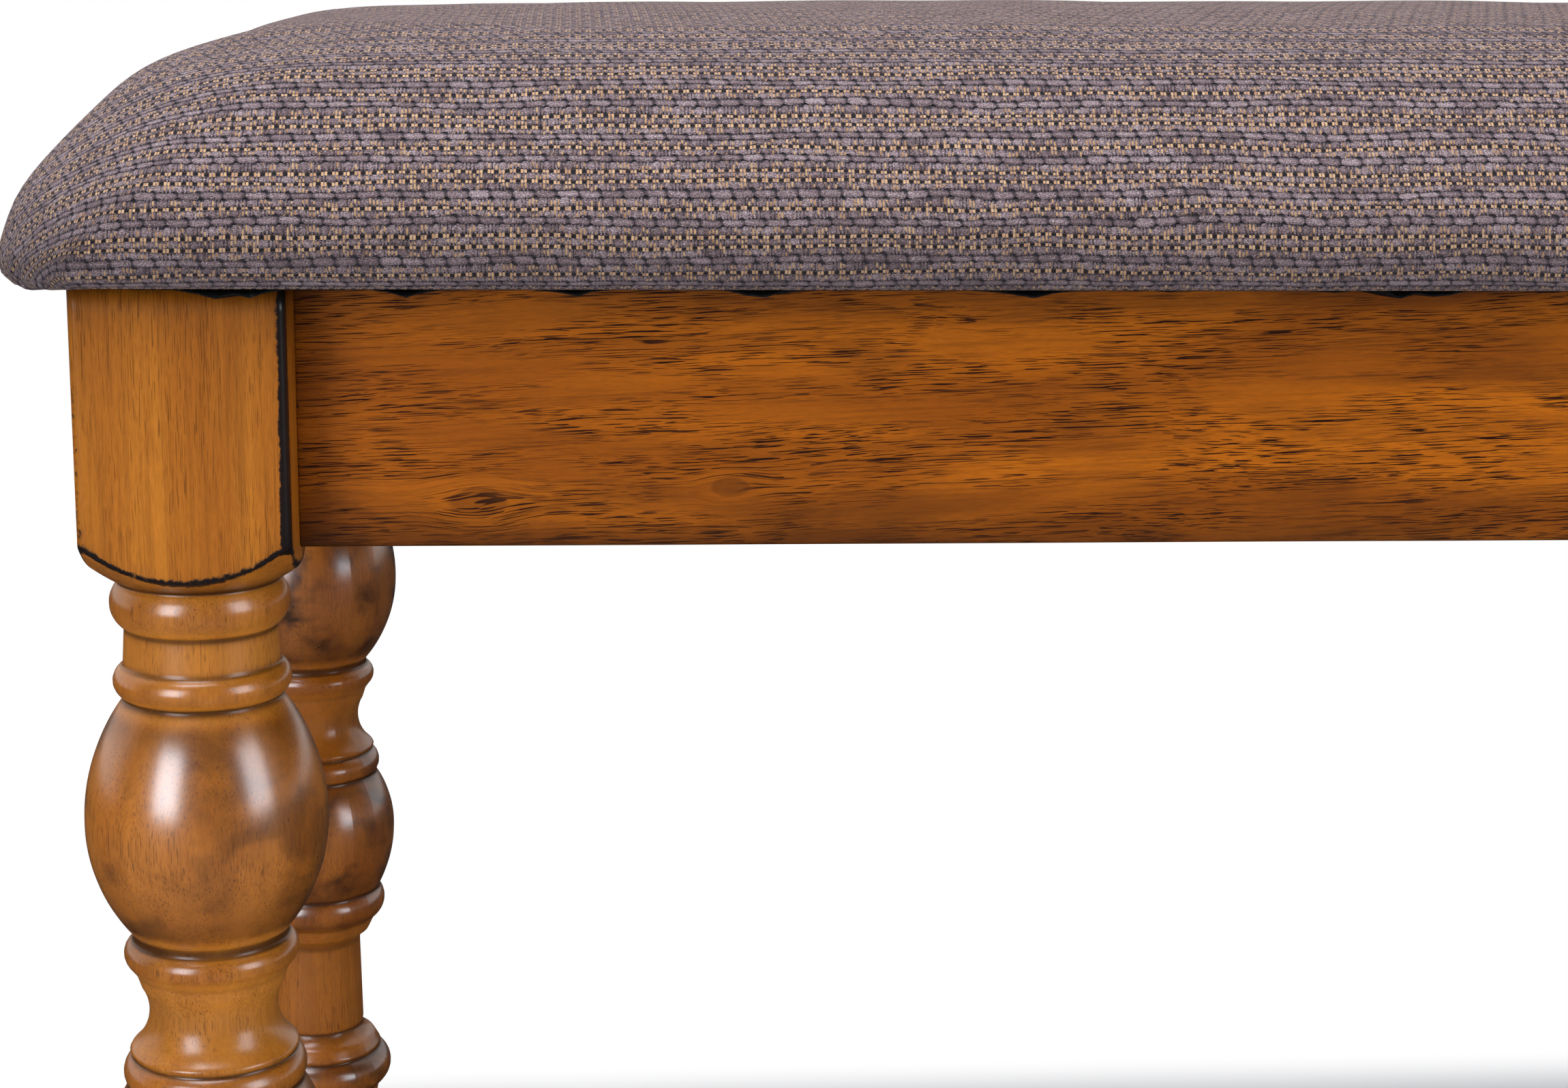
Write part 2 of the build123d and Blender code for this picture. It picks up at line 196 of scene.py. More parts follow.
class Graph:
    """The node tree of one material or world. Every node comes from its node method."""

    def __init__(self, name: str) -> None:
        """Start an empty material.

        Args:
            name: The material's name.
        """
        self.material = bpy.data.materials.new(name)
        self.material.use_nodes = True
        self.tree = self.material.node_tree
        self.tree.nodes.clear()

    @classmethod
    def of_world(cls, world: bpy.types.World) -> "Graph":
        """Start an empty graph on a world.

        Args:
            world: The world, with its nodes in use.

        Returns:
            The graph.
        """
        graph = cls.__new__(cls)
        graph.tree = world.node_tree
        graph.tree.nodes.clear()
        return graph

    def node(self, kind: str, inputs: dict | None = None, **settings: object) -> bpy.types.Node:
        """Add one node, with its settings first and its sockets after them.

        Args:
            kind: The node's type.
            inputs: Values or links by the sockets' identifiers.
            **settings: The node's own properties.

        Returns:
            The node.
        """
        made = self.tree.nodes.new(kind)
        for name, setting in settings.items():
            setattr(made, name, setting)
        for key, given in (inputs or {}).items():
            socket = next(s for s in made.inputs if s.identifier == key)
            if isinstance(given, Value):
                given = given.socket
            if isinstance(given, Socket):
                self.tree.links.new(given, socket)
            else:
                socket.default_value = given
        return made

    def output(self, kind: str, key: str, inputs: dict | None = None, **settings: object) -> Socket:
        """Add a node and give one of its output sockets.

        Args:
            kind: The node's type.
            key: The output's identifier.
            inputs: Values or links by the sockets' identifiers.
            **settings: The node's own properties.

        Returns:
            The output socket.
        """
        made = self.node(kind, inputs, **settings)
        return next(s for s in made.outputs if s.identifier == key)

    def value(self, kind: str, key: str, inputs: dict | None = None, **settings: object) -> Value:
        """Add a node and wrap one of its number outputs."""
        return Value(self, self.output(kind, key, inputs, **settings))

    def place(self) -> Socket:
        """Object coordinates, in metres in the bench's own frame."""
        return self.output("ShaderNodeTexCoord", "Object")

    def attribute(self, name: str) -> Value:
        """A number stored on the mesh under a name."""
        return self.value("ShaderNodeAttribute", "Fac", attribute_name=name)

    def axes(self, vector: Socket) -> tuple[Value, Value, Value]:
        """The three parts of a vector as values."""
        parts = self.node("ShaderNodeSeparateXYZ", {"Vector": vector}).outputs
        return Value(self, parts[0]), Value(self, parts[1]), Value(self, parts[2])

    def scaled(self, vector: Socket, scale: tuple[float, float, float]) -> Socket:
        """A vector times another, part by part."""
        inputs = {"Vector": vector, "Vector_001": scale}
        return self.output("ShaderNodeVectorMath", "Vector", inputs, operation="MULTIPLY")

    def joined(self, x: Number, y: Number, z: Number = 0.0) -> Socket:
        """A vector made of three values."""
        return self.output("ShaderNodeCombineXYZ", "Vector", {"X": x, "Y": y, "Z": z})

    def noise(
        self, vector: Socket, scale: Place | None = None, detail: float = 2.0, bend: float = 0.0
    ) -> Value:
        """Smooth noise about one half, with features about one unit of the scaled vector wide.

        Args:
            vector: Where the noise is read.
            scale: Features per unit on the three axes, or None for one.
            detail: How many finer layers it has.
            bend: How far it is distorted.

        Returns:
            The noise.
        """
        vector = self.scaled(vector, scale) if scale else vector
        inputs = {"Vector": vector, "Scale": 1.0, "Detail": detail, "Distortion": bend}
        return self.value("ShaderNodeTexNoise", "Fac", inputs)

    def chances(self, vector: Socket) -> tuple[Value, Value, Value]:
        """Three random numbers from zero to one for each vector."""
        return self.axes(self.output("ShaderNodeTexWhiteNoise", "Color", {"Vector": vector}))

    def mix(self, share: Number, first: Colour | Socket, second: Colour | Socket) -> Socket:
        """Mix two colours.

        Args:
            share: How much of the second there is.
            first: A display colour or a colour socket.
            second: The same.

        Returns:
            The mixed colour's socket.
        """
        pair = [linear(c) if isinstance(c, tuple) else c for c in (first, second)]
        inputs = {"Factor_Float": share, "A_Color": pair[0], "B_Color": pair[1]}
        return self.output("ShaderNodeMix", "Result_Color", inputs, data_type="RGBA")

    def raised(self, height: Value, depth: float) -> Socket:
        """A normal bent by a height of zero to one.

        Args:
            height: The height's share.
            depth: Its full size in metres.

        Returns:
            The normal's socket.
        """
        inputs = {"Height": height, "Distance": depth, "Strength": 1.0}
        return self.output("ShaderNodeBump", "Normal", inputs)

    def finish(self, **sockets: object) -> bpy.types.Material:
        """Close the graph with a Principled surface.

        Args:
            **sockets: Its inputs, with a low line for each space in their names.

        Returns:
            The material.
        """
        inputs = {name.replace("_", " "): given for name, given in sockets.items()}
        shader = self.output("ShaderNodeBsdfPrincipled", "BSDF", inputs)
        self.node("ShaderNodeOutputMaterial", {"Surface": shader})
        return self.material


class Grain(Enum):
    """The way the grain runs through a piece."""

    LENGTHWISE = 0
    DEPTHWISE = 1
    UPRIGHT = 2

    def noise(
        self,
        graph: Graph,
        place: Socket,
        features: tuple[float, float],
        detail: float,
        bend: float = 0.0,
    ) -> Value:
        """Noise drawn out along the grain.

        Args:
            graph: The graph to work in.
            place: Where the noise is read, in metres.
            features: Features per metre across the grain and along it.
            detail: How many finer layers it has.
            bend: How far it is distorted.

        Returns:
            The noise.
        """
        scale = tuple(features[axis == self.value] for axis in range(3))
        return graph.noise(place, scale, detail, bend)


@dataclass(frozen=True)
class AntiqueStain:
    """Honey-brown stained wood under satin lacquer, with open pores, glaze and rubbed arrises.

    It reads three numbers from the mesh: hollow for the glaze that lies in grooves, for painted
    shade under the leg blocks, for glaze and a painted shadow at their tops, and for the darkening
    towards the aprons' edges and ends; arris for the black of rubbed arrises; and swell for the
    smoky and glossier turned forms. Necks are paler, partly as paler wood and partly as a painted
    sheen. Figure and pores are features per metre across and along the grain.
    """

    grain: Grain
    pale: Colour = (187, 114, 30)
    deep: Colour = (164, 94, 20)
    streak: Colour = (90, 44, 4)
    ember: Colour = (184, 106, 12)
    # paler wood of the necks and coves, with a painted sheen
    neck_pale_and_sheen: Colour = (206, 136, 50)
    pore: Colour = (44, 16, 2)
    # colour of the glaze and smoke, also used for painted shade under the leg blocks
    glaze: Colour = (56, 28, 6)
    arris: Colour = (15, 14, 15)
    figure: tuple[float, float] = (34.0, 4.0)
    flow: float = 2.5
    pores: tuple[float, float] = (3300.0, 95.0)
    pore_low: float = 0.62
    pore_depth: float = 0.45
    streaks: float = 0.24
    scorch: float = 0.0
    smoke: float = 0.52
    warmth: float = 0.35
    paleness: float = 0.30
    glaze_and_shade_strength: float = 0.9
    blackness: float = 0.97
    relief: float = 0.0003
    tilt: float = 0.0
    rings: float = 0.0
    knots: tuple[tuple[float, float, float], ...] = ()

    def bent(self, graph: Graph, place: Socket) -> tuple[Socket, Value]:
        """Bend the grain in slow waves, and round the knots of a front board.

        Broad noise moves the place that the grain is read at. Near a knot its height is drawn
        towards the knot's, by the square of one less a share of the squared distance, so the
        grain runs round it. The grain climbs along the board by the tilt.

        Args:
            graph: The graph to work in.
            place: Object coordinates.

        Returns:
            The bent coordinates, and how near the middle of a knot they lie.
        """
        x, y, z = graph.axes(place)
        wave = self.grain.noise(graph, place, (22, 9), 2.0)
        bend = (wave - 0.5) * (self.flow * MM)
        eye = wave * 0.0
        for along, height, reach in self.knots:
            from_x = (x - along * MM) / (reach * 2.0 * MM)
            from_z = (z - height * MM) / (reach * MM)
            close = (1.0 - (from_x * from_x + from_z * from_z) * 0.3).most(0.0)
            z = z - from_z * close * close * (reach * 0.8 * MM)
            eye = eye.most(close)
        return graph.joined(x + bend, y + bend, z + bend - x * self.tilt), eye

    def material(self, name: str) -> bpy.types.Material:
        """Make the finish as a material.

        Args:
            name: The material's name.

        Returns:
            The material.
        """
        graph = Graph(name)
        place = graph.place()
        bent, eye = self.bent(graph, place)
        broad = self.grain.noise(graph, bent, self.figure, 2.0, 1.0)
        bands = self.grain.noise(graph, bent, (260, 9), 3.0, 0.8)
        veins = self.grain.noise(graph, bent, (900, 20), 2.0, 0.3)
        fibres = self.grain.noise(graph, bent, (3600, 260), 3.0)
        slots = self.grain.noise(graph, bent, self.pores, 1.0)
        groups = self.grain.noise(graph, bent, (110, 18), 2.0)
        burnt = self.grain.noise(graph, bent, (60, 14), 3.0, 0.6)
        clouds = graph.noise(place, (46, 46, 60), detail=4.0, bend=0.4)
        ragged = graph.noise(place, (700, 700, 700), detail=3.0)
        _, _, up = graph.axes(place)
        turned = graph.noise(graph.joined(0.0, 0.0, up * 1500), detail=3.0)
        hollow, arris, swell = (graph.attribute(key) for key in ("hollow", "arris", "swell"))

        pores = slots.rise(self.pore_low, self.pore_low + 0.035) * groups.rise(0.34, 0.56)
        base = graph.mix(broad.rise(0.32, 0.68), self.pale, self.deep)
        base = graph.mix(bands.rise(0.46, 0.76) * self.streaks, base, self.streak)
        base = graph.mix(veins.rise(0.42, 0.72) * self.streaks, base, self.streak)
        base = graph.mix(fibres.rise(0.35, 0.75) * 0.30, base, self.streak)
        base = graph.mix(burnt.rise(0.50, 0.72) * self.scorch, base, self.streak)
        base = graph.mix(eye.rise(0.82, 0.90) * 0.45, base, self.streak)
        narrow = swell.rise(0.31, 0.34) * (1.0 - swell.rise(0.36, 0.60))
        # Necks and coves turn paler: partly paler wood with less stain, partly a painted sheen of the
        # lamps.
        base = graph.mix(narrow * self.paleness, base, self.neck_pale_and_sheen)
        base = graph.mix(swell * swell * self.warmth, base, self.ember)
        base = graph.mix(swell * swell * clouds.rise(0.44, 0.70) * self.smoke, base, self.glaze)
        base = graph.mix(pores * self.pore_depth, base, self.pore)
        # The hollow number paints glaze in the grooves, painted shade under the leg blocks, a painted
        # shadow at their tops and the darkening along the aprons' edges and ends.
        glaze_and_shade = (hollow * (0.55 + clouds * 0.9)).rise(0.02, 1.0)
        base = graph.mix(glaze_and_shade * self.glaze_and_shade_strength, base, self.glaze)
        rubbed = (arris + (ragged - 0.5) * 0.40 + (clouds - 0.5) * 0.4).rise(0.44, 0.57)
        base = graph.mix(rubbed * self.blackness, base, self.arris)

        height = 0.5 - pores * 0.3 + fibres * 0.06 + turned * swell * self.rings + ragged * 0.04
        rough = 0.40 + clouds * 0.08 + pores * 0.2 - swell * 0.06
        gloss = (0.05 + swell * 0.91 + rubbed * 0.25).least(1.0) * (1.0 - glaze_and_shade * 0.45)
        return graph.finish(
            Base_Color=base, Roughness=rough, Normal=graph.raised(height, self.relief),
            Coat_Weight=gloss, Coat_Roughness=0.25, Coat_IOR=2.2, Specular_IOR_Level=0.10,
        )


@dataclass(frozen=True)
class RawWood:
    """Unfinished wood or plywood of the hidden frame."""

    grain: Grain
    pale: Colour = (198, 164, 118)
    deep: Colour = (158, 118, 74)
    layers: float = 0.0

    def material(self, name: str) -> bpy.types.Material:
        """Make the finish as a material with growth bands and, in plywood, its layers.

        Args:
            name: The material's name.

        Returns:
            The material.
        """
        graph = Graph(name)
        place = graph.place()
        bands = self.grain.noise(graph, place, (150, 6), 3.0, 0.8)
        fibres = self.grain.noise(graph, place, (1200, 60), 2.0)
        base = graph.mix(bands.rise(0.3, 0.7), self.pale, self.deep)
        base = graph.mix(fibres.rise(0.4, 0.8) * 0.35, base, self.deep)
        _, _, up = graph.axes(place)
        ply = abs((up * self.layers).part() - 0.5).rise(0.2, 0.3)
        base = graph.mix(ply * 0.4, base, self.deep)
        normal = graph.raised(fibres, 0.0003)
        return graph.finish(Base_Color=base, Roughness=0.62 + fibres * 0.15, Normal=normal)


class Row(Enum):
    """The kinds of row in the weave."""

    FLOATS = "long chenille floats, end to end"
    TUFTS = "short upright tufts with tan yarn between them"
    DOTS = "pairs of tan dots between dark squares"


@dataclass(frozen=True)
class ThreadPlace:
    """Where a point of the cloth lies in the weave, as values of a graph.

    Across is in millimetres along the row, share goes from -1 to 1 over the row's height, and
    from_float is the distance in millimetres from the middle of the nearest row of floats.
    """

    graph: Graph
    across: Value
    line: Value
    stagger: Value
    share: Value
    from_float: Value
    kinds: dict[Row, Value]

    def cell(self, pitch: float, shift: Number = 0.0) -> tuple[Value, tuple[Value, Value, Value]]:
        """Find the cell that the point lies in.

        Args:
            pitch: Width of a cell.
            shift: Offset as a share of the pitch.

        Returns:
            Signed distance from the cell's middle, and three random numbers of the cell.
        """
        at = self.across / pitch + shift
        number = at.whole()
        chances = self.graph.chances(self.graph.joined(number, self.line, pitch))
        return (at - number - 0.5) * pitch, chances

    @staticmethod
    def oval(across: Value, half_width: float, share: Value, half_height: Number = 1.0) -> Value:
        """Height of an oval tuft: the root of one less the squares of both distances."""
        wide, tall = across / half_width, share / half_height
        return (1.0 - wide * wide - tall * tall).most(0.0).root()


@dataclass(frozen=True)
class ChenilleWeave:
    """Chenille basket weave with tan yarn and dark gaps, read from the cloth's own flat map.

    Rows run along the bench. Each repeat has two rows of long floats. Between them lie rows of
    upright tufts, parted by lines where tan dots and dark squares take turns. The crests of the
    tufts get a painted highlight, the crevices between them and the cloth near the hem painted shade.
    """

    chenille: Colour = (132, 110, 110)
    plum: Colour = (72, 56, 59)
    lilac: Colour = (208, 189, 192)
    tan: Colour = (236, 194, 142)
    amber: Colour = (182, 134, 92)
    crevice_shade: Colour = (32, 22, 22)
    gap: Colour = (14, 15, 20)
    rows: tuple[tuple[Row, float], ...] = (
        (Row.FLOATS, 2.1),
        (Row.TUFTS, 2.25),
        (Row.DOTS, 1.0),
        (Row.TUFTS, 2.4),
        (Row.FLOATS, 2.1),
        (Row.TUFTS, 2.2),
        (Row.DOTS, 1.0),
        (Row.TUFTS, 1.95),
        (Row.DOTS, 1.0),
        (Row.TUFTS, 2.6),
    )
    phase: float = 0.0
    float_length: float = 5.8
    square_pitch: float = 2.9
    yarn_pitch: float = 0.9667
    depth: float = 1.5

    def place(self, graph: Graph, across: Value, up: Value) -> ThreadPlace:
        """Find the row that a point lies in.

        Each row's number, middle and half height is the first row's plus, for every row edge
        that the point has passed, the step to the next row's.

        Args:
            graph: The graph to work in.
            across: Millimetres along the rows.
            up: Millimetres across them.

        Returns:
            The point's place in the weave.
        """
        heights = [height for _, height in self.rows]
        repeat = sum(heights)
        turns = (up + self.phase) / repeat
        at = turns.part() * repeat
        edges = [sum(heights[:number]) for number in range(len(heights))]
        passed = [at.above(edge) for edge in edges[1:]]

        def stepped(values: list[float]) -> Value:
            """The value of the row that the point lies in, from one value for each row."""
            jumps = [after - before for before, after in zip(values, values[1:])]
            return sum(here * jump for here, jump in zip(passed, jumps)) + values[0]

        middles = [edge + height / 2 for edge, height in zip(edges, heights)]
        share = (at - stepped(middles)) / stepped([height / 2 for height in heights])
        number = sum(passed)
        floats = [middle for middle, (kind, _) in zip(middles, self.rows) if kind is Row.FLOATS]
        from_float = abs(at - floats[0])
        for middle in (*floats[1:], floats[0] + repeat):
            from_float = from_float.least(abs(at - middle))
        kinds = {row: stepped([float(kind is row) for kind, _ in self.rows]) for row in Row}
        line = turns.whole() * len(self.rows) + number
        return ThreadPlace(graph, across, line, number * 0.125, share, from_float, kinds)

    def material(self, name: str) -> bpy.types.Material:
        """Make the weave as a material.

        Args:
            name: The material's name.

        Returns:
            The material, which reads the cloth's flat map, and how near the hem is, for painted shade
            there.
        """
        graph = Graph(name)
        flat_map = graph.output("ShaderNodeUVMap", "UV", uv_map="cloth")
        cloth = graph.scaled(flat_map, (1 / MM, 1 / MM, 0))
        across, up, _ = graph.axes(cloth)
        drift = graph.noise(cloth, (0.022, 0.07, 0), detail=2.0)
        jitter = graph.noise(cloth, (0.22, 0.35, 0), detail=1.0)
        up = up + (drift - 0.5) * 4.2 + (jitter - 0.5) * 0.9
        at = self.place(graph, across, up)
        fuzz = graph.noise(cloth, (2.4, 3.6, 1), detail=4.0, bend=1.0)
        ragged = (graph.noise(cloth, (3.4, 3.4, 4), detail=2.0) - 0.5) * 0.8
        share = at.share + ragged

        along, (tone, _, _) = at.cell(self.float_length, at.stagger)
        slanted = (along + share * 0.2 + ragged) / 2.76
        square = slanted * slanted
        rounded = (1.0 - share * share).most(0.0).root()
        float_height = (1.0 - square * square * square - share * share).most(0.0).root()
        float_height = float_height.most(rounded * 0.22)
        from_break = self.float_length / 2 - abs(along + share * 0.2)
        hole = at.oval(from_break, 0.78, (at.from_float - 1.1) + ragged * 0.4, 0.62)

        from_tuft, (tuft_tone, _, _) = at.cell(self.float_length, at.stagger + 0.3)
        wide_tuft = at.oval(from_tuft + ragged, 1.3, share, 1.08)
        from_yarn, (shown, lean, sheen) = at.cell(self.yarn_pitch)
        from_gap = self.yarn_pitch / 2 - abs(from_yarn)
        small_tuft = at.oval(from_gap + ragged * 0.3, 0.5, share, 1.05) * 0.85
        yarn = at.oval(from_yarn, 0.30, at.share - (lean - 0.5) * 1.1, 0.40 + shown * 0.45)
        patch = graph.noise(cloth, (0.09, 0.20, 1), detail=2.0)
        yarn = yarn * (shown + patch - 0.5).above(0.32) * wide_tuft.fall(0.10, 0.45)
        from_square, (_, _, reach) = at.cell(self.square_pitch)
        is_square = abs(from_square + ragged * 0.7).fall(0.50, 0.72) * abs(share).fall(0.75, 1.1)
        dot = at.oval(from_yarn + ragged * 0.15, 0.37, at.share, 1.5) * (1.0 - is_square)

        is_float, is_tufts, is_dots = (at.kinds[row] for row in Row)
        pile = wide_tuft.most(small_tuft)
        between = (1.0 - is_square) * 0.5
        body = is_float * float_height + is_tufts * pile.most(yarn * 0.7)
        body = body + is_dots * between.most(dot * 0.5)
        tan = is_tufts * yarn.rise(0.1, 0.5) * (1.0 - wide_tuft.rise(0.2, 0.5))
        tan = tan + is_dots * dot.rise(0.15, 0.6)
        dark = (hole.rise(0.05, 0.5) + is_dots * is_square * (0.6 + reach * 0.4)).least(1.0)

        pale = graph.noise(cloth, (0.05, 0.16, 2), detail=2.0)
        tones = (tone - 0.5) * is_float + (tuft_tone - 0.5) * is_tufts
        hue = fuzz + tones * 0.09 + (pale - 0.5) * 0.14
        shade = graph.mix(hue.rise(0.38, 0.53), self.plum, self.chenille)
        shade = graph.mix(hue.rise(0.51, 0.68), shade, self.lilac)
        # Painted highlight on the crests of the tufts, and painted shade in the crevices between them.
        shade = graph.mix(body.rise(0.7, 1.0) * 0.08, shade, self.lilac)
        shade = graph.mix(body.fall(0.0, 0.62), shade, self.crevice_shade)
        warm = graph.mix(sheen * 0.7 + patch * 0.3, self.amber, self.tan)
        shade = graph.mix(tan * 0.95, shade, warm)
        shade = graph.mix(dark * 0.96, shade, self.gap)
        # Painted shade on the cloth near the hem, where it turns under the seat.
        shade = graph.mix(graph.attribute("hem") * 0.42, shade, self.crevice_shade)
        height = body - hole * 0.5 + fuzz * 0.28
        return graph.finish(
            Base_Color=shade, Roughness=0.9 - tan * 0.3, Normal=graph.raised(height, self.depth * MM),
            Sheen_Weight=0.2, Sheen_Roughness=0.5, Sheen_Tint=linear((214, 204, 216)),
            Specular_IOR_Level=0.12,
        )


@dataclass(frozen=True)
class BlackCloth:
    """Thin black non-woven cloth with a pressed dot pattern and loose fibres."""

    cloth: Colour = (12, 12, 13)
    fluff: Colour = (34, 33, 35)

    def material(self, name: str) -> bpy.types.Material:
        """Make the cloth as a material.

        Args:
            name: The material's name.

        Returns:
            The material.
        """
        graph = Graph(name)
        place = graph.place()
        across, along, _ = graph.axes(graph.scaled(place, (500, 500, 500)))
        dots = (abs(across.part() - 0.5) + abs(along.part() - 0.5)).fall(0.2, 0.35)
        fibres = graph.noise(place, (1400, 500, 900), detail=4.0, bend=1.0)
        base = graph.mix(fibres.rise(0.5, 0.75), self.cloth, self.fluff)
        normal = graph.raised(fibres * 0.6 - dots * 0.4, 0.0003)
        rough = 0.85 + dots * 0.1
        return graph.finish(Base_Color=base, Roughness=rough, Normal=normal, Specular_IOR_Level=0.2)


@dataclass(frozen=True)
class ZincSteel:
    """Zinc-plated steel with a faint yellow cast and fine scratches."""

    zinc: Colour = (176, 174, 166)
    dull: Colour = (120, 116, 104)

    def material(self, name: str) -> bpy.types.Material:
        """Make the plating as a material.

        Args:
            name: The material's name.

        Returns:
            The material.
        """
        graph = Graph(name)
        place = graph.place()
        spots = graph.noise(place, (300, 300, 300), detail=4.0)
        scratches = graph.noise(place, (2500, 300, 2500), detail=2.0)
        base = graph.mix(spots.rise(0.45, 0.7), self.zinc, self.dull)
        rough = 0.28 + spots * 0.25
        return graph.finish(
            Base_Color=base, Metallic=1.0, Roughness=rough, Normal=graph.raised(scratches, 0.00005)
        )


@dataclass(frozen=True)
class MouldedNylon:
    """Dark moulded nylon of the glides, scuffed where it meets the floor."""

    nylon: Colour = (58, 42, 30)
    scuff: Colour = (120, 104, 88)

    def material(self, name: str) -> bpy.types.Material:
        """Make the plastic as a material.

        Args:
            name: The material's name.

        Returns:
            The material.
        """
        graph = Graph(name)
        place = graph.place()
        _, _, up = graph.axes(place)
        grit = graph.noise(place, (900, 900, 900), detail=3.0)
        scuffed = up.fall(0.0, 0.0016) * grit.rise(0.42, 0.6)
        base = graph.mix(scuffed * 0.7, self.nylon, self.scuff)
        return graph.finish(
            Base_Color=base, Roughness=0.42 + scuffed * 0.3, Normal=graph.raised(grit, 0.00006)
        )


def corners(node: str) -> tuple[np.ndarray, np.ndarray]:
    """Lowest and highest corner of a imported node, in millimetres."""
    low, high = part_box(node)
    return np.array(low) / MM, np.array(high) / MM


def grid_faces(rows: int, columns: int, closed: bool) -> np.ndarray:
    """Quads of a grid of vertices stored row by row.

    Args:
        rows: Number of rows.
        columns: Number of vertices in a row.
        closed: Whether the last column joins the first.

    Returns:
        Four vertex numbers for each quad. With rows going down and columns turning anticlockwise
        seen from above, they face outwards.
    """
    row = np.arange(rows - 1)[:, None] * columns
    column = np.arange(columns if closed else columns - 1)[None, :]
    beside = (column + 1) % columns
    quad = [row + column, row + columns + column, row + columns + beside, row + beside]
    return np.stack(np.broadcast_arrays(*quad), axis=-1).reshape(-1, 4)


def fan_faces(tip: int, first: int, columns: int, upwards: bool) -> np.ndarray:
    """Triangles from one vertex to a ring of them.

    Args:
        tip: Number of the vertex at the middle.
        first: Number of the ring's first vertex.
        columns: Number of vertices in the ring.
        upwards: Whether the fan faces up, for a ring that turns anticlockwise seen from above.

    Returns:
        Three vertex numbers for each triangle.
    """
    here = first + np.arange(columns)
    there = first + (np.arange(columns) + 1) % columns
    pair = (here, there) if upwards else (there, here)
    return np.stack([np.full(columns, tip), *pair], axis=-1)


def closed_ends(
    points: np.ndarray, tips: np.ndarray, marks: dict[str, np.ndarray], at_tips: float
) -> tuple[np.ndarray, list[np.ndarray], dict[str, np.ndarray]]:
    """Close a grid whose rows are rings: quads along it and a fan of triangles at each end.

    Args:
        points: Points by ring and place in the ring.
        tips: The middle of the first end and of the last.
        marks: Numbers for each point, by name.
        at_tips: The same number at both tips.

    Returns:
        Every point, the faces, and the numbers with those of the tips.
    """
    rings, columns, _ = points.shape
    count = rings * columns
    faces = [
        grid_faces(rings, columns, closed=True),
        fan_faces(count, 0, columns, upwards=True),
        fan_faces(count + 1, count - columns, columns, upwards=False),
    ]
    marks = {key: np.append(mark.ravel(), (at_tips, at_tips)) for key, mark in marks.items()}
    return np.vstack([points.reshape(-1, 3), tips]), faces, marks


def smoothed(values: np.ndarray, spread: float, step: float) -> np.ndarray:
    """Blur a row of values with a bell curve.

    Args:
        values: Evenly spaced values.
        spread: The bell's standard deviation, in millimetres.
        step: The spacing of the values, in millimetres.

    Returns:
        The blurred values, as many as were given.
    """
    reach = max(1, math.ceil(3 * spread / step))
    offsets = np.arange(-reach, reach + 1) * step
    weights = np.exp(-0.5 * (offsets / spread) ** 2)
    padded = np.pad(values, reach, mode="edge")
    return np.convolve(padded, weights / weights.sum(), mode="valid")


def bell(distance: np.ndarray, width: float) -> np.ndarray:
    """Bell curve: one at no distance, and one over e at the width."""
    return np.exp(-((distance / width) ** 2))


def fading(amount: tuple[float, float], distance: np.ndarray) -> np.ndarray:
    """An amount that dies away with distance, given as its size at none and its reach."""
    size, reach = amount
    return size * np.exp(-distance / reach)


def ripple(along: np.ndarray, waves: tuple[tuple[float, float, float], ...]) -> np.ndarray:
    """Sum of sine waves, each given as its wavelength, its size and its phase."""
    return sum(size * np.sin(2 * math.pi * along / length + phase) for length, size, phase in waves)


def make_piece(
    name: str,
    points: np.ndarray,
    faces: list[np.ndarray],
    material: bpy.types.Material,
    attributes: dict[str, np.ndarray] | None = None,
    cloth: np.ndarray | None = None,
) -> bpy.types.Object:
    """Put worked-out points and faces into a new object.

    Args:
        name: The piece's name.
        points: Vertices in millimetres, three numbers each.
        faces: Arrays of quads or triangles.
        material: The piece's material.
        attributes: Numbers for each vertex, by name.
        cloth: The cloth's flat coordinates for each vertex, in millimetres.

    Returns:
        The object.
    """
    mesh = bpy.data.meshes.new(name)
    listed = [face for group in faces for face in group.tolist()]
    mesh.from_pydata((points.reshape(-1, 3) * MM).tolist(), [], listed)
    for key, values in (attributes or {}).items():
        layer = mesh.attributes.new(key, "FLOAT", "POINT")
        layer.data.foreach_set("value", values.astype(np.float32).ravel())
    if cloth is not None:
        corner = np.zeros(len(mesh.loops), np.int32)
        mesh.loops.foreach_get("vertex_index", corner)
        layer = mesh.uv_layers.new(name="cloth")
        layer.data.foreach_set("uv", (cloth.reshape(-1, 2)[corner] * MM).astype(np.float32).ravel())
    mesh.materials.append(material)
    mesh.polygons.foreach_set("use_smooth", [True] * len(mesh.polygons))
    mesh.validate()
    mesh.update()
    piece = bpy.data.objects.new(name, mesh)
    bpy.context.scene.collection.objects.link(piece)
    LOG.info("%s: %d vertices, %d faces", name, len(mesh.vertices), len(mesh.polygons))
    return piece


class Form(Enum):
    """How a turned member goes from its first radius to its last."""

    LINE = "straight"
    ARC = "through its middle radius"
    SWELL = "round, ending upright"
    FALL = "round, starting upright"


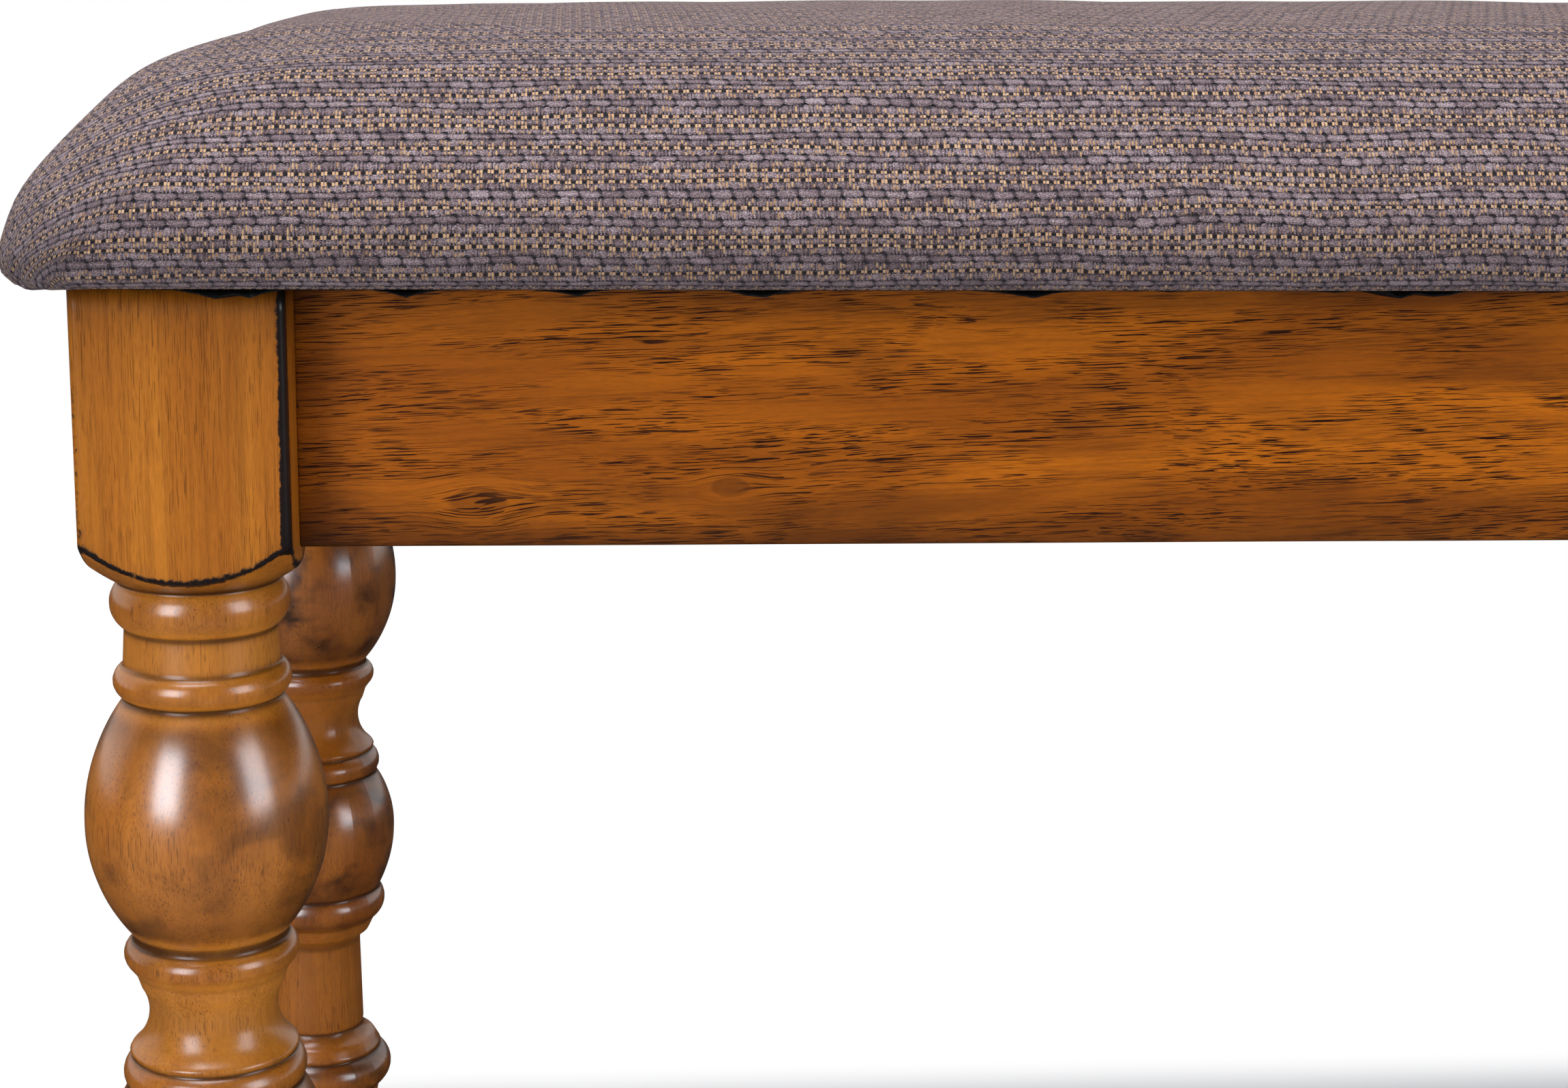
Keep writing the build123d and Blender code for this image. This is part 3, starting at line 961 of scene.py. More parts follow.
@dataclass(frozen=True)
class Member:
    """One member of a turning: its form, height, middle radius and end radius."""

    form: Form
    height: float
    middle: float
    end: float

    def points(self, radius: float, top: float, step: float) -> np.ndarray:
        """Points of the member's outline, without its first.

        A straight member mixes its end radii. An arc follows the circle through its first,
        middle and last points, found from the ratio of their differences as complex numbers. A
        swell or a fall follows the circle whose middle lies level with its upright end.

        Args:
            radius: Radius at the member's top.
            top: Height of its top.
            step: Distance between points.

        Returns:
            Rows of radius and height.
        """
        start, end = complex(radius, top), complex(self.end, top - self.height)
        count = max(2, round(abs(end - start) / step))
        share = np.arange(1, count + 1) / count
        if self.form is Form.LINE:
            line = start + (end - start) * share
        elif self.form is Form.ARC:
            middle = complex(self.middle, top - self.height / 2)
            ratio = (end - start) / (middle - start)
            centre = (middle - start) * (ratio - abs(ratio) ** 2) / (2j * ratio.imag) + start
            sweep = np.angle((middle - centre) / (start - centre))
            sweep = sweep + np.angle((end - centre) / (middle - centre))
            line = centre + (start - centre) * np.exp(1j * sweep * share)
        else:
            upright, other = (end, start) if self.form is Form.SWELL else (start, end)
            rise = upright.real - other.real
            circle = (rise**2 + self.height**2) / (2 * rise)
            angle = math.asin(self.height / circle)
            turned = angle * ((1 - share) if self.form is Form.SWELL else -share)
            line = upright - circle + circle * np.exp(1j * turned)
        return np.stack([line.real, line.imag], axis=-1)


@dataclass
class TurnedLeg:
    """Leg with a square block, domed below, over a turning of rings, bulbs and a short column."""

    corner: str
    side_x: int
    side_y: int
    top: float = 412.0
    half_width: float = 29.0
    arris: float = 2.6
    inner_flat: float = 9.0
    block_side: float = 71.0
    dome_middle: tuple[float, float] = (33.5, 80.9)
    collar: float = 22.5
    collar_drop: float = 86.5
    ease: float = 1.3
    step: float = 1.0
    side_columns: int = 24
    arris_columns: int = 7
    side_rows: int = 18
    ease_rows: int = 7
    dome_rows: int = 12
    softness: float = 0.32
    foot: float = 5.0
    heaviness: tuple[float, float, float, float] = (0.2, 0.95, 0.48, 0.95)
    lower_heaviness: float = 0.64
    wear_reach: float = 0.9
    groove: float = 0.55
    # glaze with a painted shadow of the seat at the block's top
    top_glaze_and_shadow: tuple[float, float] = (0.56, 17.0)
    edge_darkening: tuple[float, float] = (0.30, 5.0)
    members: tuple[Member, ...] = (
        Member(Form.ARC, 13.5, 25.3, 21.5),  # upper ring
        Member(Form.LINE, 11.0, 0.0, 22.2),  # neck
        Member(Form.ARC, 9.3, 25.2, 22.0),  # ring over the large bulb
        Member(Form.SWELL, 37.1, 0.0, 34.6),  # large bulb
        Member(Form.FALL, 33.4, 0.0, 22.2),
        Member(Form.LINE, 2.1, 0.0, 22.2),
        Member(Form.ARC, 7.8, 25.1, 23.6),  # ring under it
        Member(Form.LINE, 2.3, 0.0, 21.9),  # small bands
        Member(Form.LINE, 4.0, 0.0, 20.6),
        Member(Form.ARC, 18.4, 18.6, 23.5),  # cove
        Member(Form.LINE, 1.2, 0.0, 24.6),  # thin lip and the groove under it
        Member(Form.LINE, 1.6, 0.0, 23.4),
        Member(Form.ARC, 9.2, 26.5, 25.0),  # ring over the small bulb
        Member(Form.SWELL, 22.8, 0.0, 32.0),  # small bulb
        Member(Form.FALL, 25.7, 0.0, 25.4),
        Member(Form.ARC, 11.5, 27.6, 24.9),  # ring under it
        Member(Form.LINE, 0.7, 0.0, 23.8),  # small band
        Member(Form.LINE, 5.8, 0.0, 21.0),
        Member(Form.ARC, 4.6, 18.2, 17.3),  # throat of the column
        Member(Form.LINE, 34.6, 0.0, 18.0),  # column
        Member(Form.LINE, 0.9, 0.0, 17.5),
        Member(Form.ARC, 5.0, 18.7, 21.8),  # shoulder
        Member(Form.LINE, 0.5, 0.0, 22.4),
        Member(Form.LINE, 4.4, 0.0, 24.9),
        Member(Form.LINE, 1.0, 0.0, 24.0),
        Member(Form.ARC, 15.2, 28.8, 24.0),  # lowest ring
        Member(Form.LINE, 4.6, 0.0, 23.2),  # ankle
        Member(Form.ARC, 12.6, 21.5, 22.4),
        Member(Form.ARC, 19.7, 25.8, 21.0),  # foot
    )

    def plan(self) -> tuple[np.ndarray, np.ndarray, np.ndarray]:
        """Outline of the block, anticlockwise, with its inner corner at +X and +Y.

        Each side is a straight row of points that crowd towards its ends, as one half of one
        less the cosine. Each eased corner is a quarter circle, and the inner one is a flat.

        Returns:
            X, Y and how near each point lies to an arris, from zero to one.
        """
        half, radius = self.half_width, self.arris
        turn = np.linspace(0, math.pi / 2, self.arris_columns)
        spread = (1 - np.cos(np.linspace(0, math.pi, self.side_columns + 1)[1:-1])) / 2
        ends = []
        for number, (x, y) in enumerate(((1, 1), (-1, 1), (-1, -1), (1, -1))):
            if number == 0:
                ends.append(np.array([(half, half - self.inner_flat), (half - self.inner_flat, half)]))
                continue
            centre = np.array([x, y]) * (half - radius)
            angle = turn + number * math.pi / 2
            ends.append(centre + radius * np.stack([np.cos(angle), np.sin(angle)], axis=-1))
        rows, wear = [], []
        for number, here in enumerate(ends):
            there = ends[(number + 1) % 4]
            straight = here[-1] + (there[0] - here[-1]) * spread[:, None]
            rows += [here, straight]
            reach = np.linalg.norm(there[0] - here[-1])
            near, far = self.heaviness[number], self.heaviness[(number + 1) % 4]
            near_wear = near * bell(spread * reach, self.wear_reach)
            far_wear = far * bell((1 - spread) * reach, self.wear_reach)
            over = 0.6 + 0.4 * np.sin(2 * turn) if len(here) == len(turn) else np.ones(2)
            wear += [near * over, 0.6 * (near_wear + far_wear)]
        outline = np.concatenate(rows)
        return outline[:, 0], outline[:, 1], np.concatenate(wear)

    def dome(self, radius: np.ndarray) -> np.ndarray:
        """Height of the dome under the block, on the circle through its edge, middle and collar.

        Args:
            radius: Distances from the leg's axis.

        Returns:
            The dome's height at each.
        """
        corner = self.half_width * math.sqrt(2)
        drop = self.collar_drop - self.block_side
        path = Member(Form.ARC, drop, self.dome_middle[0], self.collar)
        arc = path.points(corner, self.top - self.block_side, 0.5)
        arc = np.vstack([(corner, self.top - self.block_side), arc])[::-1]
        return np.interp(radius, arc[:, 0], arc[:, 1])

    def turning(self) -> tuple[np.ndarray, np.ndarray, np.ndarray]:
        """Outline of the turning at even steps, and how hollow it is there.

        The hollow is how far the blurred radius stands outside the radius, for the grooves, plus
        the slope of the outline where the radius is large, for the ends of the bulbs.

        Returns:
            Radius, height and hollow, from the collar down to the foot.
        """
        radius, height = self.collar, self.top - self.collar_drop
        scale = (height - self.foot) / sum(member.height for member in self.members)
        rows = [np.array([[radius, height]])]
        for member in self.members:
            member = Member(member.form, member.height * scale, member.middle, member.end)
            rows.append(member.points(radius, height, self.step))
            radius, height = member.end, height - member.height
        path = np.vstack(rows)
        length = np.concatenate([[0], np.cumsum(np.linalg.norm(np.diff(path, axis=0), axis=1))])
        even = np.linspace(0, length[-1], round(length[-1] / self.step))
        radii, heights = np.interp(even, length, path[:, 0]), np.interp(even, length, path[:, 1])
        step = even[1]
        narrow = (smoothed(radii, 2.0, step) - radii) / self.groove
        slope = np.abs(np.gradient(smoothed(radii, 2.5, step), step))
        wide = np.clip(slope * 1.35 - 0.14, 0, 0.72) * np.clip((radii - 23) / 3, 0, 1)
        hollow = np.clip(narrow, 0, 1) * 0.9 + wide
        soft = smoothed(radii, self.softness, step)
        soft[0], soft[-1] = radii[0], radii[-1]
        return soft, heights, np.clip(hollow, 0, 1)

    def rows(self) -> tuple[np.ndarray, dict[str, np.ndarray]]:
        """Every row of the leg from its top to its foot.

        The block's sides go straight down to the dome. A quadratic curve eases the edge between
        them, and the dome runs in to the collar, where the turning takes over.

        Returns:
            Points by row and column, and the numbers that the stain reads.
        """
        x, y, wear = self.plan()
        reach, angle = np.hypot(x, y), np.arctan2(y, x)
        edge = self.dome(reach)
        inner = reach - self.ease
        inner_edge = self.dome(inner)
        down = np.linspace(0, 1, self.side_rows)[:, None] ** 0.8
        side_z = self.top + (edge + self.ease - self.top) * down
        side_r = np.broadcast_to(reach, side_z.shape)
        bend = np.linspace(0, 1, self.ease_rows + 1)[1:, None]
        first, second, third = (1 - bend) ** 2, 2 * bend * (1 - bend), bend**2
        ease_z = first * (edge + self.ease) + second * edge + third * inner_edge
        ease_r = first * reach + second * reach + third * inner
        inward = np.linspace(0, 1, self.dome_rows + 1)[1:, None]
        dome_r = inner + (self.collar - inner) * inward
        dome_z = self.dome(dome_r)
        soft, heights, hollow = self.turning()
        flat = np.ones(len(x))
        radius = np.vstack([side_r, ease_r, dome_r, soft[1:, None] * flat])
        height = np.vstack([side_z, ease_z, dome_z, heights[1:, None] * flat])
        points = np.stack([radius * np.cos(angle), radius * np.sin(angle), height], axis=-1)
        low = self.lower_heaviness
        edge_wear = 0.8 * low * bell(side_z - edge - self.ease, 0.4)
        side_wear = np.maximum(wear * (0.8 + 0.2 * down), edge_wear)
        ease_wear = np.maximum(low * (0.8 + 0.2 * np.sin(math.pi * bend)), wear)
        dome_wear = 0.8 * low * bell(inner - dome_r, 0.8)
        arris = np.vstack([side_wear, ease_wear, dome_wear, np.zeros((len(soft) - 1, len(x)))])
        from_arris = np.minimum(self.half_width - np.abs(x), self.half_width - np.abs(y))
        across = np.maximum(self.half_width - np.minimum(np.abs(x), np.abs(y)) - from_arris, 0)
        # Glaze towards the block's edges, and at its top glaze with a painted shadow of the seat's
        # overhang.
        side_glaze_and_shadow = fading(self.edge_darkening, across) + fading(self.top_glaze_and_shadow, self.top - side_z)
        side_glaze_and_shadow = side_glaze_and_shadow + fading(self.edge_darkening, side_z - edge)
        # Painted shade on the underside of the block, over the ease and the dome, deepest at the
        # collar.
        dome_shade = 0.3 + np.clip((self.collar + 9 - dome_r) / 9, 0, 1) ** 1.5 * 0.7
        block_glaze_and_shade = np.vstack([side_glaze_and_shadow, np.full(ease_r.shape, 0.3), dome_shade])
        hollow = np.clip(np.vstack([block_glaze_and_shade, hollow[1:, None] * flat]), 0, 1)
        turned = 0.35 + 0.65 * np.clip((soft[1:, None] * flat - 23) / 6, 0, 1)
        block = ((side_r, 0.0), (ease_r, 0.2), (dome_r, 0.3))
        swell = np.vstack([*(np.full(part.shape, amount) for part, amount in block), turned])
        return points, {"hollow": hollow, "arris": arris, "swell": swell}

    def build(self, material: bpy.types.Material) -> bpy.types.Object:
        """Make the leg in its place.

        Args:
            material: The stained wood.

        Returns:
            The leg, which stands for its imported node.
        """
        node = "leg_" + self.corner
        low, high = corners(node)
        centre = (low + high) / 2
        points, marks = self.rows()
        points = points * np.array([-self.side_x, -self.side_y, 1])
        if self.side_x * self.side_y < 0:
            points, marks = points[:, ::-1], {key: mark[:, ::-1] for key, mark in marks.items()}
        points = points + np.array([centre[0], centre[1], high[2] - self.top])
        tips = np.array([[centre[0], centre[1], height] for height in (high[2], points[-1, 0, 2])])
        every, faces, marks = closed_ends(points, tips, marks, 0.0)
        piece = make_piece("turned_leg_" + self.corner, every, faces, material, marks)
        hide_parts(node)
        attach(piece, BODY)
        return piece


@dataclass
class Apron:
    """Apron board with eased arrises between two legs."""

    node: str
    grain: Grain
    outward: int
    setback: float = 22.6
    block_half: float = 29.0
    let_in: float = 0.4
    thickness: float = 20.0
    ease: float = 1.0
    lower_ease: float = 2.2
    flat_columns: int = 14
    ease_columns: int = 6
    length_rows: int = 90
    heaviness: float = 0.40
    edge_darkening: tuple[float, float] = (0.70, 13.0)
    end_darkening: tuple[float, float] = (0.40, 9.0)
    waves: tuple[tuple[float, float, float], ...] = ((310.0, 0.12, 0.4), (127.0, 0.06, 1.9))

    def section(self, height: float) -> tuple[np.ndarray, np.ndarray]:
        """Cross-section of the board, from its outer face at zero inwards.

        Four quarter circles, the outer lower one larger, are joined by sides whose points crowd
        towards their ends.

        Args:
            height: Height of the board.

        Returns:
            Rows of inward distance and height, and how near each lies to an arris.
        """
        spread = (1 - np.cos(np.linspace(0, math.pi, self.flat_columns + 1)[1:-1])) / 2
        turn = np.linspace(0, math.pi / 2, self.ease_columns)
        places = ((0, 0, self.lower_ease), (1, 0, self.ease), (1, 1, self.ease), (0, 1, self.ease))
        arcs = []
        for number, (inner, upper, radius) in enumerate(places):
            centre = np.array([
                self.thickness - radius if inner else radius,
                height - radius if upper else radius,
            ])
            angle = turn + math.pi + number * math.pi / 2
            arcs.append(centre + radius * np.stack([np.cos(angle), np.sin(angle)], axis=-1))
        rows, wear = [], []
        for number, here in enumerate(arcs):
            there = arcs[(number + 1) % 4]
            straight = here[-1] + (there[0] - here[-1]) * spread[:, None]
            reach = np.linalg.norm(there[0] - here[-1])
            nearest = np.minimum(spread, 1 - spread) * reach
            rows += [here, straight]
            wear += [0.8 + 0.2 * np.sin(2 * turn), 0.8 * bell(nearest, 0.5)]
        return np.concatenate(rows), np.concatenate(wear)

    def build(self, material: bpy.types.Material) -> bpy.types.Object:
        """Make the apron in its place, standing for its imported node.

        The section is carried along the board. Over the last millimetre at each end it draws in
        by the quarter circle of the ease.

        Args:
            material: The stained wood.

        Returns:
            The apron.
        """
        low, high = corners(self.node)
        leg_low, leg_high = corners("leg_front_left")
        leg = (leg_low + leg_high) / 2
        axis = self.grain.value
        start = leg[axis] + self.block_half - self.let_in
        section, wear = self.section(high[2] - low[2])
        middle = np.array([self.thickness / 2, (high[2] - low[2]) / 2])
        turn = np.linspace(0, math.pi / 2, self.ease_columns)
        drawn = self.ease * (1 - np.sin(turn))
        offset = start + self.ease * (1 - np.cos(turn))
        between = np.linspace(offset[-1], -offset[-1], self.length_rows)[1:-1]
        along = np.concatenate([offset, between, -offset[::-1]])
        inset = np.concatenate([drawn, np.zeros(self.length_rows - 2), drawn[::-1]])
        towards = np.sign(middle - section)
        profile = section[None] + towards[None] * inset[:, None, None]
        profile[..., 0] += ripple(along, self.waves)[:, None]
        face = self.outward * (abs(leg[1 - axis]) + self.block_half - self.setback)
        points = np.zeros((len(along), len(section), 3))
        points[..., axis] = along[:, None]
        points[..., 1 - axis] = face - self.outward * profile[..., 0]
        points[..., 2] = low[2] + profile[..., 1]
        marks = np.broadcast_to(wear * self.heaviness, points.shape[:2]).copy()
        marks[: self.ease_columns] = np.maximum(marks[: self.ease_columns], self.heaviness)
        marks[-self.ease_columns :] = np.maximum(marks[-self.ease_columns :], self.heaviness)
        if (self.outward > 0) != (axis == 1):
            points, marks = points[:, ::-1], marks[:, ::-1]
        from_edge = np.minimum(profile[..., 1], high[2] - low[2] - profile[..., 1])
        from_end = np.minimum(along - along[0], along[-1] - along)[:, None]
        # The boards darken towards their top and bottom edges and towards their ends.
        hollow = fading(self.edge_darkening, from_edge) + fading(self.end_darkening, from_end)
        tips = np.stack([points[0].mean(axis=0), points[-1].mean(axis=0)])
        layers = {"hollow": hollow, "arris": marks}
        every, faces, layers = closed_ends(points, tips, layers, 0.5)
        piece = make_piece(self.node + "_board", every, faces, material, layers)
        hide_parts(self.node)
        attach(piece, BODY)
        return piece


@dataclass
class RoundedPlan:
    """Grid over a rounded rectangle: a middle patch with rings of cells around it.

    A vertex in a corner of the grid lies on ring r, the larger of its distances from the patch.
    It goes to the quarter circle of that ring, at an angle that grows evenly along the ring.
    """

    half_length: float
    half_depth: float
    patch_columns: int
    patch_rows: int
    rings: int

    def layout(self) -> dict[str, np.ndarray]:
        """Lay the grid out.

        Returns:
            Signs, shares, ring numbers and corner angles of every vertex.
        """
        half_x, half_y = self.patch_columns / 2, self.patch_rows / 2
        across = np.arange(self.patch_columns + 2 * self.rings + 1) - self.rings - half_x
        down = np.arange(self.patch_rows + 2 * self.rings + 1) - self.rings - half_y
        x, y = np.meshgrid(across, down)
        beyond_x = np.maximum(np.abs(x) - half_x, 0)
        beyond_y = np.maximum(np.abs(y) - half_y, 0)
        ring = np.maximum(beyond_x, beyond_y)
        least = np.minimum(beyond_x, beyond_y) / np.maximum(ring, 1)
        turn = np.where(beyond_y >= beyond_x, least, 2 - least) * math.pi / 4
        return {
            "sign_x": np.sign(x),
            "sign_y": np.sign(y),
            "share_x": np.clip(x / half_x, -1, 1),
            "share_y": np.clip(y / half_y, -1, 1),
            "ring": ring.astype(int),
            "turn": np.where(ring > 0, turn, 0.0),
        }

    def spread(
        self, layout: dict[str, np.ndarray], inset: np.ndarray, radius: np.ndarray, reach: np.ndarray
    ) -> tuple[np.ndarray, np.ndarray]:
        """Plan places of every vertex.

        A vertex lies at its share of the straight side, plus, in a corner, the reach times the
        sine or cosine of its angle.

        Args:
            layout: What the layout method gives.
            inset: Distance of each ring from the outline, from the patch outwards.
            radius: Corner radius of each ring.
            reach: Radius that the corner's vertices are set out at, the same as the radius in
                plan and longer on the flat cloth.

        Returns:
            X and Y of every vertex.
        """
        ring = layout["ring"]
        straight_x = (self.half_length - inset - radius)[ring]
        straight_y = (self.half_depth - inset - radius)[ring]
        x = layout["share_x"] * straight_x + layout["sign_x"] * reach[ring] * np.sin(layout["turn"])
        y = layout["share_y"] * straight_y + layout["sign_y"] * reach[ring] * np.cos(layout["turn"])
        return x, y


@dataclass
class SeatPad:
    """Crowned seat whose cover is pulled down over its edges and round under its board."""

    sides: tuple[tuple[float, float], ...] = (
        (42.0, 0.0),
        (17.0, 0.0),
        (8.0, -0.6),
        (3.6, -0.7),
        (1.1, 1.2),
        (0.2, 5.0),
        (0.0, 10.0),
        (1.9, 22.0),
        (9.9, 34.0),
        (19.3, 45.2),
        (28.8, 55.4),
        (57.6, 64.9),
        (104.0, 67.7),
        (141.0, 69.0),
        (186.0, 69.5),
    )
    crown_inset: float = 186.0
    corner_radius: float = 36.4
    corner_growth: float = 0.46
    corner_pull: float = 18.0
    corner_drop: float = 1.0
    growth_end: float = 100.0
    draw_in: float = 3.0
    end_draw_in: float = 2.0
    patch_columns: int = 96
    patch_rows: int = 4
    rings: int = 34
    pressure: float = 4.0
    frames: int = 20
    shrink: float = 0.6
    cap: float = 1.2
    end_reach: float = 0.6
    crown_rise: float = 5.6
    end_fall: float = 3.6
    droop: float = 2.6
    pull_height: float = 17.0
    fold_height: float = 45.0
    fold_depth: float = 0.45
    hem_height: float = 19.0
    lumps: tuple[tuple[float, float, float], ...] = ((173.0, 0.35, 0.3), (71.0, 0.22, 1.1))

    def profile(self) -> tuple[np.ndarray, np.ndarray, np.ndarray]:
        """The pad's side at even steps from the crown out, down and under the board.

        The named points are joined by a smooth curve: each coordinate is a cubic in the length
        along them, with slopes taken from the points beside.

        Returns:
            Inset and height of each ring, and the length along the cloth from the crown.
        """
        knots = np.array(self.sides)[::-1]
        length = np.concatenate([[0], np.cumsum(np.linalg.norm(np.diff(knots, axis=0), axis=1))])
        slopes = np.gradient(knots, length, axis=0)
        fine = np.linspace(0, length[-1], 1200)
        at = np.clip(np.searchsorted(length, fine, side="right") - 1, 0, len(length) - 2)
        span = (length[at + 1] - length[at])[:, None]
        t = (fine - length[at])[:, None] / span
        curve = (
            (2 * t**3 - 3 * t**2 + 1) * knots[at] + (t**3 - 2 * t**2 + t) * span * slopes[at]
            + (3 * t**2 - 2 * t**3) * knots[at + 1] + (t**3 - t**2) * span * slopes[at + 1]
        )
        travelled = np.concatenate([[0], np.cumsum(np.linalg.norm(np.diff(curve, axis=0), axis=1))])
        even = np.linspace(0, travelled[-1], self.rings + 1)
        inset = np.interp(even, travelled, curve[:, 0])
        height = np.interp(even, travelled, curve[:, 1])
        return inset, height, even

    def corner_radii(self, inset: np.ndarray, height: np.ndarray) -> np.ndarray:
        """Corner radius of each ring.

        It grows inwards, then closes on the middle patch. Near the hem the cover is pulled tight,
        which sharpens the corner by a bell curve of the height.

        Args:
            inset: Distance of each ring from the outline.
            height: Height of each ring over the hem.

        Returns:
            The radii.
        """
        grown = self.corner_radius + self.corner_growth * inset
        grown = grown - self.corner_pull * bell(height, self.pull_height)
        full = self.corner_radius + self.corner_growth * self.growth_end
        closing = full * (self.crown_inset - inset) / (self.crown_inset - self.growth_end)
        return np.minimum(grown, np.maximum(closing, 0))

    def top_surface(
        self, plan: RoundedPlan, layout: dict[str, np.ndarray]
    ) -> tuple[np.ndarray, np.ndarray]:
        """Cover from the crown to the hem, and its flat coordinates.

        The sides pull in between the corners by one less the square of the share along them.
        Near a corner the cloth is longer than the edge that it goes round, so the flat
        coordinates use the length along the cloth as their reach.

        Args:
            plan: The pad's plan grid.
            layout: Its layout.

        Returns:
            Points from the underside up, and the flat coordinates, by row and column.
        """
        inset, height, length = self.profile()
        radius = self.corner_radii(inset, height)
        x, y = plan.spread(layout, inset, radius, radius)
        ring = layout["ring"]
        swell = np.clip(height / 30, 0, 1)[ring] * np.clip((plan.half_depth - inset) / 120, 0, 1)[ring]
        on_side = np.abs(layout["share_x"]) < 1
        on_end = np.abs(layout["share_y"]) < 1
        side_pull = self.draw_in * swell * (1 - layout["share_x"] ** 2)
        end_pull = self.end_draw_in * swell * (1 - layout["share_y"] ** 2)
        y = y - layout["sign_y"] * np.where(on_side, side_pull, 0)
        x = x - layout["sign_x"] * np.where(on_end, end_pull, 0)
        z = height[ring] + 0.0 * x
        reach = length + (plan.half_depth - inset[0]) - (plan.half_depth - inset - radius)
        u, v = plan.spread(layout, inset, radius, reach)
        side = np.clip(1 - inset[ring] / 70, 0, 1)
        v = v - layout["sign_y"] * self.droop * side * np.exp(-(plan.half_length - np.abs(x)) / 95)
        lumps = ripple(x + 0.35 * y, self.lumps) * np.sin(y / 41 + 0.8)
        turn = layout["turn"]
        gather = bell(turn - math.pi / 4, 0.5) * (height[ring] < self.fold_height)
        folds = gather * np.sin(turn * 26 + layout["sign_x"]) * self.fold_depth
        low = np.clip(1 - height[ring] / self.fold_height, 0, 1) * (inset[ring] < 25)
        x = x + layout["sign_x"] * np.sin(turn) * folds * low
        y = y + layout["sign_y"] * np.cos(turn) * folds * low
        lengthwise = self.crown_rise * (1 - (x / plan.half_length) ** 2) - self.end_fall
        z = z + lengthwise * np.clip(height[ring] / 70, 0, 1) ** 3
        z = z - self.corner_drop * gather * np.clip(1 - height[ring] / 20, 0, 1) * (inset[ring] < 17)
        z = z + lumps * np.clip((height[ring] - 30) / 30, 0, 1)
        return np.stack([x, y, z], axis=-1), np.stack([u, v], axis=-1)

    def underside(self, plan: RoundedPlan, layout: dict[str, np.ndarray]) -> np.ndarray:
        """Flat underside inside the hem, on the same grid, so that the two close.

        Args:
            plan: The pad's plan grid.
            layout: Its layout.

        Returns:
            Points by row and column.
        """
        edge, _ = self.sides[0]
        share = np.linspace(0, 1, self.rings + 1)
        inset = self.crown_inset + (edge - self.crown_inset) * share
        outer = self.corner_radii(np.array([edge]), np.array([0.0]))[0]
        x, y = plan.spread(layout, inset, outer * share, outer * share)
        return np.stack([x, y, np.zeros_like(x)], axis=-1)

    def inflate(self, piece: bpy.types.Object, held: np.ndarray) -> None:
        """Draw the cover in a little, blow it up again as cloth over its filling, and keep that.

        The underside is held. Pressure pushes the rest out, no point goes further than the cap,
        and the change is put into the mesh.

        Args:
            piece: The pad.
            held: How firmly each vertex is held, from zero to one.
        """
        mesh = piece.data
        before = np.zeros(len(mesh.vertices) * 3, np.float32)
        normals = np.zeros_like(before)
        mesh.vertices.foreach_get("co", before)
        mesh.vertex_normals.foreach_get("vector", normals)
        before -= normals * np.repeat((1 - held) * self.shrink * MM, 3)
        mesh.vertices.foreach_set("co", before)
        group = piece.vertex_groups.new(name="held")
        for level in (1.0, 0.6, 0.3):
            chosen = np.flatnonzero((held > level - 0.15) & (held <= level + 0.15))
            group.add(chosen.tolist(), level, "REPLACE")
        cloth = piece.modifiers.new("filling", "CLOTH")
        cloth.settings.quality = 4
        cloth.settings.use_pressure = True
        cloth.settings.uniform_pressure_force = self.pressure
        cloth.settings.vertex_group_mass = group.name
        cloth.settings.effector_weights.gravity = 0
        scene = bpy.context.scene
        for number in range(1, self.frames + 1):
            scene.frame_set(number)
        swollen = piece.evaluated_get(bpy.context.evaluated_depsgraph_get())
        after = np.zeros_like(before)
        swollen.data.vertices.foreach_get("co", after)
        piece.modifiers.remove(cloth)
        scene.frame_set(1)
        moved = (after - before).reshape(-1, 3)
        distance = np.linalg.norm(moved, axis=1, keepdims=True)
        limit = self.cap * MM
        kept = moved * (limit * np.tanh(distance / limit) / np.maximum(distance, 1e-9))
        mesh.vertices.foreach_set("co", (before.reshape(-1, 3) + kept).ravel())
        mesh.update()
        LOG.info("seat pad: cloth moved up to %.1f mm, %.1f mm kept", distance.max() / MM, limit / MM)

    def build(self, material: bpy.types.Material) -> bpy.types.Object:
        """Make the covered pad in the place of the foam, its wadding and its cover.

        Args:
            material: The weave.

        Returns:
            The pad.
        """
        low, high = corners("seat_cover")
        half_length = high[0] + self.end_reach
        plan = RoundedPlan(half_length, high[1], self.patch_columns, self.patch_rows, self.rings)
        layout = plan.layout()
        top, cloth = self.top_surface(plan, layout)
        under = self.underside(plan, layout)
        rows, columns, _ = top.shape
        points = np.vstack([top.reshape(-1, 3), under.reshape(-1, 3)]) + np.array([0, 0, low[2]])
        quads = grid_faces(rows, columns, closed=False)
        flat = np.vstack([cloth.reshape(-1, 2), under.reshape(-1, 3)[:, :2]])
        height = points[:, 2] - low[2]
        held = np.clip(1 - (height - 3) / 8, 0, 1)
        ring = layout["ring"].ravel()
        rim = ring == self.rings
        number = np.arange(2 * rows * columns)
        number[rows * columns :][rim] = np.flatnonzero(rim)
        used, packed = np.unique(number, return_inverse=True)
        faces = packed[np.vstack([quads[:, ::-1], quads + rows * columns])]
        # How near the hem a point lies, for the painted shade of the cloth there.
        hem = bell(np.clip(height, 0, None), self.hem_height)
        piece = make_piece("seat_pad", points[used], [faces], material, {"hem": hem[used]}, flat[used])
        self.inflate(piece, held[used])
        finer = piece.modifiers.new("finer", "SUBSURF")
        finer.levels = finer.render_levels = 1
        finer.uv_smooth = "PRESERVE_BOUNDARIES"
        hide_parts("seat_cover", "seat_wadding", "seat_foam")
        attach(piece, BODY)
        return piece


